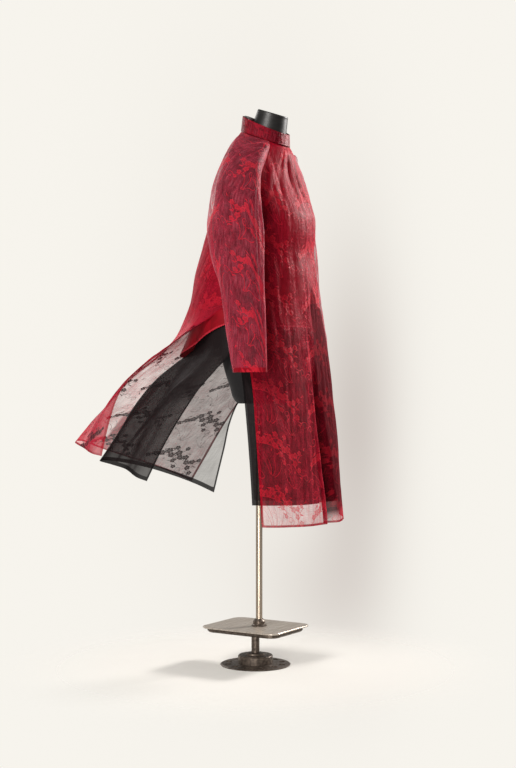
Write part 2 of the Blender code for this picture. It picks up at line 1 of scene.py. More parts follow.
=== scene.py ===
# Ao dai of sheer red organza with woven blossom sprays, worn over a plain black inner tunic
# and a short red bodice lining by a limbless form on a metal stand.
# Metres, +Z up, the wearer faces -Y, the wearer's right hand is at -X; rows of tables are in mm.
import math
from functools import partial

import bmesh
import bpy
import numpy as np
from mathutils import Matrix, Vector


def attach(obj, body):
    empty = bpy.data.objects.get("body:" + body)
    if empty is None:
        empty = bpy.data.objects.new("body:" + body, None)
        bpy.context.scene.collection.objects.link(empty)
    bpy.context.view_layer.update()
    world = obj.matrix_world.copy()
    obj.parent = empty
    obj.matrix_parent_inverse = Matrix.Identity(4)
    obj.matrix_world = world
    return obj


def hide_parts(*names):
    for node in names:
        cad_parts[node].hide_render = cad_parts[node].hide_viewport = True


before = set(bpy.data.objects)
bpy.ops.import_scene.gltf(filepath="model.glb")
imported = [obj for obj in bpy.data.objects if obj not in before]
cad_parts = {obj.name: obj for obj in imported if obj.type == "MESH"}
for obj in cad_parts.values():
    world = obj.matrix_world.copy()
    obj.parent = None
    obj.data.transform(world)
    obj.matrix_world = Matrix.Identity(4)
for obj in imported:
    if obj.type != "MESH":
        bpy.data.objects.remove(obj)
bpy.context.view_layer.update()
scene = bpy.context.scene

smooth = {"interpolation_type": "SMOOTHSTEP"}
inColour = {"data_type": "RGBA", "out": 2}


def linear(colour):
    # an sRGB hex string as linear red, green, blue and 1
    values = np.array([int(colour[k:k + 2], 16) for k in (1, 3, 5)]) / 255
    values = np.where(values > 0.04045, ((values + 0.055) / 1.055) ** 2.4, values / 12.92)
    return (*values.tolist(), 1.0)


def addNode(tree, kind, *feeds, out=0, **settings):
    # one node with its settings; a kind in capitals is the operation of a Math node. Its inputs,
    # in order or from a dictionary, take plain values or the sockets that feed them, and it
    # gives back the output asked for, or all of them
    if kind.isupper():
        kind, settings["operation"] = "Math", kind
    node = tree.nodes.new("ShaderNode" + kind)
    for key, value in settings.items():
        setattr(node, key, value)
    named = isinstance(feeds[0], dict) if feeds else False
    for key, feed in feeds[0].items() if named else enumerate(feeds):
        if isinstance(feed, bpy.types.NodeSocket):
            tree.links.new(feed, node.inputs[key])
        else:
            node.inputs[key].default_value = feed
    return node.outputs if out is None else node.outputs[out]


def emptied(block):
    # a world or material with an empty tree, and the way to add a node to it
    block.use_nodes = True
    block.node_tree.nodes.clear()
    return block, partial(addNode, block.node_tree)


# ---------- camera, light and floor
view = {"distance": 3.9, "height": 0.771, "turn": 32.0, "aside": 0.007, "lens": 66.47}
turned = math.radians(view["turn"])
viewAhead = Vector((math.cos(turned), math.sin(turned), 0.0))
viewRight = Vector((math.sin(turned), -math.cos(turned), 0.0))
lamps = {
    # name: place, aim, size, watts, colour
    "keyLamp": ((-3.3, -0.1, 2.5), (0.0, 0.0, 0.9), 1.4, 78.0, "#FFFBF7"),
    "lowLamp": ((-2.9, -0.9, 0.20), (0.0, 0.3, 0.7), 1.2, 40.0, "#FFFBF7"),
    "frontLamp": ((2.9, -1.5, 2.4), (0.0, -0.1, 1.0), 0.8, 175.0, "#FFFBF8"),
    "backLamp": ((1.2, 2.8, 2.0), (0.0, 0.2, 0.8), 1.6, 20.0, "#FBF9F6"),
}
studio = {
    "paper": "#F7F4ED", "shadow": "#C9C0BA", "fillColour": "#FFFDFA", "fill": 0.27,
    # soft shadows on the paper behind: picture place right and up of the middle, widths, share
    "halos": ((0.070, -0.030, 0.030, 0.120, 0.75), (0.000, 0.020, 0.085, 0.200, 0.22),
              (0.045, -0.150, 0.045, 0.050, 0.35)),
    "floorColour": "#ECEAE5", "radius": 3.2, "rings": 40, "steps": 96, "below": 0.0006,
    "clearFrom": 0.16, "clearTo": 0.75,
}


def addCamera():
    # stands on a circle round the object, "turn" degrees from its right side to its front
    camera = bpy.data.objects.new("camera", bpy.data.cameras.new("camera"))
    camera.location = viewRight * view["aside"] - viewAhead * view["distance"]
    camera.location.z = view["height"]
    camera.rotation_euler = viewAhead.to_track_quat("-Z", "Y").to_euler()
    camera.data.lens = view["lens"]
    camera.data.sensor_width = 36.0
    camera.data.clip_end = 50.0
    scene.collection.objects.link(camera)
    scene.camera = camera


def addLamps():
    for name, (place, aim, size, watts, colour) in lamps.items():
        lamp = bpy.data.objects.new(name, bpy.data.lights.new(name, "AREA"))
        lamp.data.size = size
        lamp.data.energy = watts
        lamp.data.color = linear(colour)[:3]
        lamp.location = place
        lamp.rotation_euler = (Vector(aim) - Vector(place)).to_track_quat("-Z", "Y").to_euler()
        scene.collection.objects.link(lamp)


def addWorld():
    # pale paper to the eye and a softer fill light to the object
    scene.world, add = emptied(bpy.data.worlds.new("paperStudio"))
    # a direction's place in the picture: its parts across and up, over its part ahead
    facing = add("TexCoord", out="Generated")
    ahead, right, up = [add("VectorMath", facing, axis, out="Value", operation="DOT_PRODUCT")
                        for axis in (viewAhead, viewRight, (0.0, 0.0, 1.0))]
    ahead = add("MAXIMUM", ahead, 0.2)
    places = add("DIVIDE", right, ahead), add("DIVIDE", up, ahead)
    shade = 0.0
    for *middle, wide, tall, share in studio["halos"]:
        away = [add("MULTIPLY_ADD", place, 1.0 / size, -centre / size)
                for place, centre, size in zip(places, middle, (wide, tall))]
        both = add("ADD", *[add("MULTIPLY", offset, offset) for offset in away])
        bell = add("POWER", math.exp(-1), both)
        shade = add("ADD", add("MULTIPLY", bell, share), shade)
    paper = add("Mix", {0: shade, 6: linear(studio["paper"]), 7: linear(studio["shadow"])},
                **inColour)
    seen = add("Background", paper, 1.0)
    fill = add("Background", linear(studio["fillColour"]), studio["fill"])
    add("OutputWorld", add("MixShader", add("LightPath", out="Is Camera Ray"), fill, seen),
        out=None)


def paperFinish():
    # matt studio paper: broad soft mottle, clearing away with the distance from the middle
    material, add = emptied(bpy.data.materials.new("studioPaper"))
    place = add("TexCoord", out="Object")
    away = add("VectorMath", place, out="Value", operation="LENGTH")
    clear = add("MapRange", away, studio["clearFrom"], studio["clearTo"], **smooth)
    mottle = add("TexNoise", {"Vector": place, "Scale": 9.0, "Detail": 3.0})
    bump = add("Bump", {"Strength": 0.05, "Distance": 0.002, "Height": mottle})
    paper = add("BsdfDiffuse", linear(studio["floorColour"]), 0.5, bump)
    add("OutputMaterial", add("MixShader", clear, paper, add("BsdfTransparent")), out=None)
    return material


def addFloor():
    # a disc of rings round its middle
    rings, steps = studio["rings"], studio["steps"]
    radius = studio["radius"] * np.linspace(0.0, 1.0, rings + 1)[1:, None]
    angle = np.linspace(0.0, 2 * math.pi, steps, endpoint=False)
    grid = np.stack((radius * np.cos(angle), radius * np.sin(angle),
                     np.zeros((rings, steps))), -1)
    points = np.concatenate((grid.reshape(-1, 3), [[0.0, 0.0, 0.0]]))
    faces = quads(rings, steps, True)[:, ::-1].tolist()
    faces += [(rings * steps, k, (k + 1) % steps) for k in range(steps)]
    mesh = bpy.data.meshes.new("paperFloor")
    mesh.from_pydata(points.tolist(), [], faces)
    mesh.materials.append(paperFinish())
    floor = bpy.data.objects.new("paperFloor", mesh)
    floor.location.z = -studio["below"]
    scene.collection.objects.link(floor)


# ---------- curves and grids


def curveThrough(knots, values, at, limited=True):
    # cubic pieces through the rows of a table; the slope at a row is the mean of its two
    # chords, cut down where limited so that the curve never overshoots a row
    knots, values = np.asarray(knots, float), np.asarray(values, float)
    if knots[0] > knots[-1]:
        knots, values = knots[::-1], values[::-1]
    at = np.clip(np.asarray(at, float), knots[0], knots[-1])
    steps = np.diff(knots)
    wide = (-1,) + (1,) * (values.ndim - 1)
    rises = np.diff(values, axis=0) / steps.reshape(wide)
    slopes = np.empty_like(values)
    slopes[0], slopes[-1] = rises[0], rises[-1]
    before, after = steps[:-1].reshape(wide), steps[1:].reshape(wide)
    mean = (rises[:-1] * after + rises[1:] * before) / (before + after)
    if limited:
        least = 2.0 * np.minimum(np.abs(rises[:-1]), np.abs(rises[1:]))
        bent = np.sign(mean) * np.minimum(np.abs(mean), least)
        mean = np.where(rises[:-1] * rises[1:] > 0, bent, 0.0)
    slopes[1:-1] = mean
    k = np.clip(np.searchsorted(knots, at, side="right") - 1, 0, len(steps) - 1)
    flat = at.shape + (1,) * (values.ndim - 1)
    step, t = steps[k].reshape(flat), ((at - knots[k]) / steps[k]).reshape(flat)
    return (values[k] * (2 * t**3 - 3 * t**2 + 1) + slopes[k] * step * (t**3 - 2 * t**2 + t)
            + values[k + 1] * (3 * t**2 - 2 * t**3) + slopes[k + 1] * step * (t**3 - t**2))


def column(table, index, at):
    # one column of a table, read at the heights given
    return curveThrough(table[:, 0], table[:, index], at)


def metres(rows):
    # rows or values written in mm
    return np.array(rows) / 1000


def clamped(value):
    # 0 below 0, 1 above 1 and the value itself between them
    return np.clip(value, 0.0, 1.0)


def quads(rows, cols, closed):
    # corner numbers of the faces of a grid, row by row
    i = np.arange(rows - 1)[:, None]
    j = np.arange(cols if closed else cols - 1)[None, :]
    k = (j + 1) % cols
    return np.stack((i * cols + j, i * cols + k, (i + 1) * cols + k, (i + 1) * cols + j),
                    -1).reshape(-1, 4)


def lengths(grid, axis):
    # distance run along a grid's rows or columns, from the first point
    run = np.cumsum(np.linalg.norm(np.diff(grid, axis=axis), axis=-1), axis=axis)
    return np.concatenate((np.zeros_like(np.take(run, [0], axis)), run), axis)


def refine(grid, spacing, closed):
    # the coarse grid redrawn as smooth curves, down its columns and then along its rows, with
    # points evenly spaced by the mean length
    down = lengths(grid, 0).mean(1)
    rows = int(round(down[-1] / spacing)) + 1
    grid = curveThrough(down, grid, np.linspace(0.0, down[-1], rows), False).swapaxes(0, 1)
    if closed:
        grid = np.concatenate((grid[-3:], grid, grid[:4]))
    along = lengths(grid, 0).mean(1)
    start, end = (along[3], along[-4]) if closed else (0.0, along[-1])
    cols = int(round((end - start) / spacing)) + (0 if closed else 1)
    at = np.linspace(start, end, cols, endpoint=not closed)
    return curveThrough(along, grid, at, False).swapaxes(0, 1)


def normals(grid, closed, middle):
    # unit normal of each grid point, away from a middle line on the whole, and whether the
    # grid's own order already gives it
    if closed:
        along = np.roll(grid, -1, 1) - np.roll(grid, 1, 1)
    else:
        along = np.gradient(grid, axis=1)
    out = np.cross(np.gradient(grid, axis=0), along)
    out /= np.maximum(np.linalg.norm(out, axis=-1, keepdims=True), 1e-12)
    outside = float(np.sum(out[..., :2] * (grid - np.asarray(middle))[..., :2])) > 0
    return out if outside else -out, outside


def flatPlaces(grid, closed):
    # where each point lies on the cut cloth: run along its row from the middle column (from
    # the first column on a tube), and run down its column
    across, down = lengths(grid, 1), lengths(grid, 0)
    if not closed:
        across = across - across[:, across.shape[1] // 2, None]
    return across, down


def softNoise(across, down, size, seed):
    # smooth random heights from -1 to 1: a lattice of 64 x 64 seeded values, eased between its
    # knots and set off so that none lies at the middle
    rng = np.random.default_rng(seed)
    lattice = rng.uniform(-1.0, 1.0, (64, 64))
    x, y = across / size[0] + 17.3, down / size[1] + 9.1
    i, j = np.floor(x).astype(int), np.floor(y).astype(int)
    s, t = x - i, y - j
    s, t = s * s * (3 - 2 * s), t * t * (3 - 2 * t)
    pick = lambda a, b: lattice[a % 64, b % 64]
    return ((pick(i, j) * (1 - s) + pick(i + 1, j) * s) * (1 - t)
            + (pick(i, j + 1) * (1 - s) + pick(i + 1, j + 1) * s) * t)


def fromLine(across, down, u0, v0, u1, v1):
    # how far along a line on the cut cloth each point lies, and how far from it
    du, dv = u1 - u0, v1 - v0
    t = clamped(((across - u0) * du + (down - v0) * dv) / (du * du + dv * dv))
    return t, np.hypot(across - u0 - t * du, down - v0 - t * dv)


def creaseHeights(across, down, creases):
    # ridges and troughs laid on the cut cloth: each runs from one place to another,
    # has a bell-shaped section and is highest at "peak" of its length
    total = np.zeros_like(across)
    for *sizes, peak in creases:
        *line, width, height = metres(sizes)
        t, away = fromLine(across, down, *line)
        far = clamped((1 - t) / (1 - peak)) if peak < 1 else np.ones_like(t)
        swell = np.minimum(clamped(t / peak), far)
        total += height * swell * swell * (3 - 2 * swell) * np.exp(-(away / width) ** 2)
    return total


def bandDepth(across, down, path, half):
    # distance in mm to a path on the cut cloth less its half width: below zero on the band
    away = [fromLine(across, down, *start, *end)[1] for start, end in zip(path[:-1], path[1:])]
    return 1000 * np.minimum(9.0, np.min(away, 0)) - half


def stripShare(across, down, strips):
    # how far the cloth lies in one of the strips: each has its share, the softness of its edges
    # and its two edges at some places down the cloth
    dense = np.zeros(across.shape)
    for share, soft, *edges in strips:
        v, start, stop = metres(edges).T
        inside = np.minimum(across - np.interp(down, v, start), np.interp(down, v, stop) - across)
        inside = np.minimum(inside, np.minimum(down - v[0], v[-1] - down) / 3)
        dense = np.maximum(dense, share * clamped(0.5 + inside / (soft / 1000)))
    return dense


# ---------- the wearer's shape and the cut of the cloth, as in the part's own tables
# height, half width, front and back of level sections: the form, then the inner tunic
formRows = metres((
    (1450, 51, -91.5, 9), (1437, 56, -91.5, 20.5), (1424.5, 63, -93.5, 30), (1415, 74, -97.5, 36.5),
    (1405, 81.5, -100, 41), (1390, 95, -100.5, 44), (1370, 113, -102, 49), (1345, 133, -106, 55),
    (1310, 149, -115, 65), (1270, 150, -127, 74), (1230, 145, -139, 80), (1195, 141, -147, 80),
    (1120, 133, -130, 70), (1040, 119, -115, 56), (960, 138, -124, 72), (880, 154, -134, 80),
    (810, 157, -140, 62), (750, 150, -138, 40), (720, 142, -130, 29), (708, 132, -120, 19),
))
innerRows = metres((
    (1440, 56, -89.5, 23), (1424.5, 63, -93.5, 30), (1415, 74, -97.5, 36.5), (1405, 81.5, -100, 41),
    (1390, 95, -100.5, 44), (1370, 113, -102, 49), (1345, 133, -106, 55.5),
    (1310, 151.5, -115.5, 67), (1270, 154.5, -129, 78), (1230, 151.5, -143, 89),
    (1195, 149, -153, 105), (1120, 155, -145, 128), (1040, 169, -149, 145), (980, 179, -150, 151.5),
    (940, 183, -152, 156),
))
# height, then how far the inner tunic, the lining and the outer tunic lie off the inner rows
layerRows = metres((
    (1450, 2, 4, 6), (1340, 2, 4.1, 6.4), (1250, 2, 6.4, 10.2), (1120, 2, 6.5, 12), (980, 2, 8, 18),
    (940, 2, 8, 18),
))
# height, and the rise towards the back over one metre
leanRows = metres((
    (1520, 400), (1450, 400), (1424, 400), (1390, 260), (1345, 130), (1270, 40), (1200, 0),
    (900, 0),
))
# height, and the angle in degrees of the front seam from the centre front
seamRows = np.array((
    (1426, 49), (1408, 46), (1388, 44.5), (1358, 44.5), (1322, 47.5), (1285, 51.5), (1266, 60),
    (1248, 87), (1231, 87), (1215, 87), (1170, 86), (1120, 82.5), (1050, 77), (980, 72),
)) / (1000, 1)
# height, how far across, y of the right and of the left sleeve, half width, half depth
sleeveRows = metres((
    (1175, 207, -65, 16, 38, 83), (1100, 217, -78.5, 10, 36, 80), (1038, 228, -96, 1, 34, 70),
    (996, 235, -109, -8, 31, 64), (922, 240, -118.8, -20, 28, 61),
    (867, 242, -126.5, -33, 26, 56.5), (790, 244, -137.1, -45, 22.5, 50),
))
cut = {
    "layers": {"inner": 1, "lining": 2, "outer": 3},
    "armpit": {"inner": 1.248, "lining": 1.215, "outer": 1.215},
    "reach": 0.090, "least": 50.0, "most": 86.0, "raglan": 0.050,
    "neck": 1.426, "columns": 14, "neckSteps": 4, "sideGap": 0.0002, "armGap": 0.0003,
    "underarm": 0.016, "towards": (0.72, 0.60, 0.20), "innerShare": (0.72, 0.80), "cuff": 0.790,
    "shoulder": (0.0, 0.16, 0.34, 0.54, 0.76, 1.0), "armRows": 8, "settle": 0.7,
    # all of it stands this much higher than the tables say
    "raise": np.array((0.0, 0.0, 0.011)),
}
# Each line runs down the cloth from the level of the slits, with points at equal lengths.
hangs = {
    "outerBack": (
        ((-194, -30, 975), (-192, 68, 915), (-172, 177, 862), (-147, 275, 812), (-137, 358, 750),
         (-132, 404, 662), (-130, 433, 555.5)),
        ((-140, 118, 975), (-120, 168, 893), (-96, 262, 832), (-86, 356, 778), (-93, 427, 708),
         (-100, 484, 640), (-105, 516, 574)),
        ((0, 165, 975), (-5, 218, 896), (-10, 300, 828), (-20, 386, 765), (-30, 460, 700),
         (-40, 528, 645), (-50, 583, 591)),
        ((140, 118, 975), (137, 182, 885), (127, 260, 805), (112, 336, 730), (96, 412, 665),
         (72, 490, 610), (50, 560, 563)),
        ((190, -30, 975), (189, 30, 890), (185, 90, 810), (177, 150, 735), (167, 205, 660),
         (155, 258, 570), (140, 310, 474)),
    ),
    "innerBack": (
        ((-174, -50, 975), (-178, -39, 853), (-177, 46, 765), (-161, 130, 678), (-140, 209, 588),
         (-120, 282, 489)),
        ((-130, 108, 975), (-128, 77, 862), (-126, 165, 777), (-120, 242, 692), (-110, 312, 602),
         (-100, 364.5, 515.7)),
        ((0, 153, 975), (-28, 166, 869), (-50, 258, 797), (-57, 345, 716), (-62, 415.6, 626),
         (-70, 487.7, 540.3)),
        ((130, 108, 975), (118, 126, 872), (100, 208, 780), (85, 270, 690), (65, 325, 600),
         (45, 380, 511)),
        ((172, -40, 975), (171, 34, 877), (168, 102, 779), (160, 174, 683), (153, 206, 560),
         (144, 233, 443)),
    ),
    "liningBack": (
        ((-180, -48, 975), (-181, -42, 948), (-182, -36, 921)),
        ((-133, 112, 975), (-136, 103, 928), (-138, 92, 876)),
        ((0, 160, 975), (-18, 182, 905), (-36, 217, 833)),
        ((135, 112, 975), (134, 130, 928), (130, 154, 876)),
        ((180, -48, 975), (181, -36, 948), (181, -24, 921)),
    ),
    "outerFront": (
        ((-188, -60, 975), (-196, -90, 880), (-200, -116, 770), (-200, -128, 645),
         (-200, -137, 518), (-200, -145, 390)),
        ((-100, -141, 975), (-108, -152, 880), (-108, -163, 770), (-108, -173, 645),
         (-108, -181, 514), (-108, -186, 385)),
        ((0, -162, 975), (0, -170, 880), (0, -180, 770), (0, -189, 645), (0, -196, 512),
         (0, -200, 382)),
        ((100, -141, 975), (106, -158, 880), (107, -176, 770), (107, -192, 645), (105, -204, 514),
         (103, -212, 385)),
        ((188, -60, 975), (197, -86, 880), (201, -111, 770), (202, -131, 645), (201, -144, 518),
         (200, -154, 394)),
    ),
    "innerFront": (
        ((-178, -58, 975), (-183, -80, 880), (-186, -101, 780), (-187, -113, 670),
         (-187, -122, 560), (-187, -129, 445)),
        ((-94, -132, 975), (-100, -139, 880), (-101, -149, 780), (-101, -158, 670),
         (-101, -165, 558), (-101, -170, 441)),
        ((0, -152, 975), (0, -157, 880), (0, -166, 780), (0, -174, 670), (0, -180, 556),
         (0, -184, 438)),
        ((94, -132, 975), (100, -143, 880), (101, -158, 780), (101, -172, 670), (100, -183, 556),
         (98, -191, 441)),
        ((178, -58, 975), (184, -78, 880), (187, -99, 780), (189, -115, 670), (188, -128, 560),
         (187, -137, 447)),
    ),
    "liningFront": (
        ((-180, -60, 975), (-182, -66, 948), (-184, -73, 919)),
        ((-97, -137, 975), (-100, -140, 944), (-104, -143, 911)),
        ((0, -157, 975), (0, -160, 944), (0, -162, 912)),
        ((97, -137, 975), (100, -142, 946), (104, -147, 917)),
        ((180, -60, 975), (182, -66, 950), (184, -73, 924)),
    ),
}


def sectionPoint(rows, angle, height):
    # an egg-shaped level section: half width across, front and back depths, leaning back;
    # angle 0 is the centre front and +90 the wearer's left
    half, front, back = (column(rows, k, height) for k in (1, 2, 3))
    middle, depth, turn = (front + back) / 2, (back - front) / 2, np.radians(angle)
    y = middle - depth * np.cos(turn)
    lean = column(leanRows, 1, height) * (y - middle)
    return np.stack((half * np.sin(turn), y, height + lean), -1)


def layerPoint(layer, angle, height):
    # a point of a cloth layer, the inner tunic's surface moved out by the layer's offset, and
    # the outward normal there, from the surface's two tangents over 1 degree and 4 mm
    angle, height = np.broadcast_arrays(np.asarray(angle, float), np.asarray(height, float))
    place = partial(sectionPoint, innerRows)
    out = np.cross(place(angle + 0.5, height) - place(angle - 0.5, height),
                   place(angle, height + 0.002) - place(angle, height - 0.002))
    out /= np.linalg.norm(out, axis=-1, keepdims=True)
    off = column(layerRows, cut["layers"][layer], height)
    return place(angle, height) + out * off[..., None], out


def seamAngles(layer):
    # height, front seam and back seam of each row; above the armpit the seam curves in
    rows = []
    for height, angle in seamRows:
        above = height - cut["armpit"][layer]
        if above < -1e-6:
            part = math.degrees(cut["sideGap"] / column(innerRows, 1, height))
            rows.append((height, angle - part / 2, angle + part / 2))
            continue
        if above < cut["reach"]:
            bend = cut["least"] + (cut["most"] - cut["least"]) * (1 - above / cut["reach"]) ** 2
            angle = max(bend, angle) if above > cut["raglan"] else bend
        rows.append((height, angle, 180.0 - angle))
    return np.array(rows)


def panelGrid(layer, side, rowsBelow):
    # a front or back: body rows down to the slits, then rows that follow the hanging lines
    rows = seamAngles(layer)
    v = np.linspace(-1.0, 1.0, cut["columns"] + 1)
    if side == "Front":
        angle = rows[:, 1][:, None] * v
    else:
        edge = 180.0 - rows[:, 2][:, None]
        angle = np.where(v < 0, -180.0 - edge * v, 180.0 - edge * v)
    upper = layerPoint(layer, angle, rows[:, 0][:, None])[0]
    table = metres(hangs[layer + side])
    share, stations = np.linspace(-1.0, 1.0, len(table)), np.linspace(0.0, 1.0, table.shape[1])
    start = curveThrough(v, upper[-1], share)
    t = np.linspace(0.0, 1.0, rowsBelow + 1)[1:]
    blend = (t ** cut["settle"])[:, None, None]
    target = np.stack([curveThrough(stations, line, t) for line in table], 1)
    offset = (target - table[:, 0]) * (1 - blend) + (target - start[None]) * blend
    spread = np.stack([curveThrough(share, row, v) for row in offset])
    return np.concatenate((upper, upper[-1][None] + spread)) + cut["raise"]


def sleeveGrid(layer, left):
    # a raglan sleeve: the armhole loop eased over the shoulder into level ovals
    rows = seamAngles(layer)
    rows = rows[rows[:, 0] > cut["armpit"][layer] - 1e-6]
    heights, front, back = rows.T
    across = np.linspace(front[0], back[0], cut["neckSteps"] + 1)[1:-1]
    angle = -np.concatenate((front[::-1], across, back))
    height = np.concatenate((heights[::-1], np.full(len(across), heights[0]), heights))
    loop, out = layerPoint(layer, angle, height)
    inward = np.cross(np.roll(loop, -1, 0) - np.roll(loop, 1, 0), out)
    inward /= np.linalg.norm(inward, axis=1, keepdims=True)
    if np.sum(inward * (loop.mean(0) - loop)) < 0:
        inward = -inward
    loop = loop + inward * cut["armGap"]
    gaps = np.linalg.norm(np.roll(loop, -1, 0) - loop, axis=1)
    turn = np.concatenate(([0.0], np.cumsum(gaps)[:-1])) / gaps.sum()
    turn = (turn + gaps[-1] / gaps.sum() / 2) * 2 * math.pi
    wide, deep = (1.0, 1.0) if layer == "outer" else cut["innerShare"]

    def oval(at):
        x = column(sleeveRows, 4, at) * wide * np.cos(turn) - column(sleeveRows, 1, at)
        y = column(sleeveRows, 5, at) * deep * np.sin(turn)
        y = column(sleeveRows, 3 if left else 2, at) - y
        return np.stack((x, y, np.full(len(turn), at)), 1)

    first = oval(sleeveRows[0][0])
    turned = loop + cut["towards"] * (first - loop)
    turned[:, 0] -= cut["underarm"] * ((1 + np.cos(turn)) / 2) ** 3
    rings = [(1 - w) ** 2 * loop + 2 * w * (1 - w) * turned + w * w * first
             for w in cut["shoulder"]]
    rings += [oval(at) for at in np.linspace(sleeveRows[0][0], cut["cuff"], cut["armRows"])[1:]]
    grid = np.array(rings) + cut["raise"]
    return (grid * (-1.0, 1.0, 1.0))[:, ::-1] if left else grid


collars = {
    # radius of the top edge, heights at the back and front, lap and gap in degrees, columns
    "outer": {"top": 0.0635, "back": 0.043, "front": 0.032, "ends": (-9.0, 369.0), "columns": 24},
    "inner": {"top": 0.0590, "back": 0.046, "front": 0.029, "ends": (2.0, 358.0), "columns": 22},
    "middle": -0.035, "foot": 0.0006, "seam": 0.0006, "lift": 0.0024,
}


def collarGrid(layer):
    # a stand collar: from the neck seam up to a round top edge that leans with the neck; the
    # wearer's right end of the outer one laps over its left end at the centre front
    size = collars[layer]
    angle = np.linspace(*size["ends"], size["columns"] + 1)
    lift = (collars["lift"] if layer == "outer" else 0.0) * clamped((angle - 180.0) / 180.0)
    turn = np.radians(angle)
    foot = layerPoint(layer, angle, cut["neck"] + collars["foot"])[0]
    foot[:, 2] += collars["seam"]
    radius = size["top"] + lift
    rise = size["front"] + (size["back"] - size["front"]) * (1 - np.cos(turn)) / 2
    head = np.stack((radius * np.sin(turn), collars["middle"] - radius * np.cos(turn),
                     foot[:, 2] + rise), 1)
    foot = foot + np.stack((np.sin(turn), -np.cos(turn), 0 * turn), 1) * lift[:, None]
    share = np.linspace(0.0, 1.0, 3)[:, None, None]
    return (head * (1 - share) + foot * share) + cut["raise"]


# ---------- the woven pattern: one repeat of a blossoming branch over fans of fine tendrils
weave = {
    "wide": 0.196, "tall": 0.140, "step": 0.0009, "bloomReach": 1.30, "fanReach": 1.15,
    # x, y, heading, length, turn, curl, half width of the drawn line in mm, 1 for a leaf
    "strokes": np.array((
        (14, 62, 48, 150, -84, 0, 0.85, 0), (30, 78, 112, 34, -70, 0, 1, 0),
        (62, 98, 70, 34, -60, 0, 1, 0), (94, 104, 40, 44, 50, 0, 0.95, 0),
        (84, 104, -74, 46, 62, 0, 1, 0), (128, 90, 18, 40, -70, 0, 0.95, 0),
        (148, 68, -66, 44, 66, 0, 0.9, 0), (178, 100, 200, 30, 70, 0, 0.8, 0),
        (60, 16, 96, 48, 66, 0, 0.62, 0), (64, 14, 78, 54, 60, 0, 0.62, 0),
        (69, 13, 60, 56, 52, 0, 0.62, 0), (75, 13, 42, 54, 46, 0, 0.62, 0),
        (150, 8, 120, 50, -62, 0, 0.62, 0), (146, 6, 138, 54, -58, 0, 0.62, 0),
        (141, 5, 156, 52, -54, 0, 0.62, 0), (20, 128, -20, 60, 90, 260, 0.7, 0),
        (126, 40, 30, 64, 120, 300, 0.7, 0), (176, 34, 80, 56, -100, -240, 0.7, 0),
        (6, 30, 60, 50, -80, -260, 0.7, 0), (36, 102, 60, 10, 10, 0, 1.8, 1),
        (49, 112, 20, 11, 10, 0, 1.8, 1), (110, 124, 80, 11, 10, 0, 1.8, 1),
        (122, 116, 10, 10, -10, 0, 1.7, 1), (98, 70, -30, 11, 10, 0, 1.7, 1),
        (90, 80, 200, 10, 10, 0, 1.7, 1), (164, 82, -20, 10, 10, 0, 1.7, 1),
        (154, 52, 210, 11, 10, 0, 1.8, 1), (166, 40, -10, 10, 10, 0, 1.7, 1),
        (22, 60, -60, 11, 10, 0, 1.7, 1), (70, 86, -110, 10, 10, 0, 1.7, 1),
        (182, 112, 50, 10, 10, 0, 1.7, 1),
    )) / (1000, 1000, 1, 1000, 1, 1, 1, 1),
    # x, y, radius, turn
    "blossoms": np.array((
        (36, 90, 8.9, 10), (52, 98, 9.8, 40), (66, 112, 10.3, 0), (80, 98, 9.3, 25),
        (96, 112, 10.5, 55), (108, 98, 9.1, 15), (124, 103, 9.6, 30), (136, 88, 8.9, 5),
        (152, 94, 8.4, 20), (150, 72, 8.7, 60), (96, 82, 8, 35), (20, 78, 8, 50), (82, 128, 8, 12),
        (112, 132, 7.5, 44), (166, 58, 7.8, 28), (110, 64, 7.3, 8), (168, 104, 7.1, 33),
    )) / (1000, 1000, 1000, 1),
    # x, y, radius, heading
    "fans": np.array((
        (104, 18, 36, 92), (30, 10, 32, 70), (180, 4, 30, 100), (52, 70, 26, -80),
        (190, 132, 26, -110),
    )) / (1000, 1000, 1000, 1),
}


def wrapped(across, down, px, py):
    # offsets in the repeat that holds the nearest copy of a point
    dx, dy = across - px, -down - py
    return (dx - weave["wide"] * np.round(dx / weave["wide"]),
            dy - weave["tall"] * np.round(dy / weave["tall"]))


def strokePlaces(across, down):
    # for each place the nearest drawn line: signed offset to its side, true distance and half
    # width, in mm; the sign changes on the line itself, so thin lines stay sharp. A twig thins
    # to 0.6 of its width at its end, and a leaf swells to its middle
    best = np.full(across.shape, 1e9)
    side, half = np.full(across.shape, 9.0), np.zeros_like(across)
    step = weave["step"]
    for px, py, heading, length, turn, curl, wide, leaf in weave["strokes"]:
        t = np.arange(0.0, 1.0, step / length)
        angle = np.radians(heading + turn * t + curl * t * t)
        xs, ys = px + np.cumsum(np.cos(angle)) * step, py + np.cumsum(np.sin(angle)) * step
        thick = wide * (np.sin(np.pi * clamped(t + 0.04)) if leaf else 1.0 - 0.4 * t)
        for qx, qy, a, w in zip(xs, ys, angle, thick):
            dx, dy = wrapped(across, down, qx, qy)
            away = dx * dx + dy * dy
            near = away < best
            best = np.where(near, away, best)
            side = np.where(near, 1000 * (math.cos(a) * dy - math.sin(a) * dx), side)
            half = np.where(near, w, half)
    return np.stack((np.clip(side, -9, 9), np.clip(1000 * np.sqrt(best), 0, 9), half), -1)


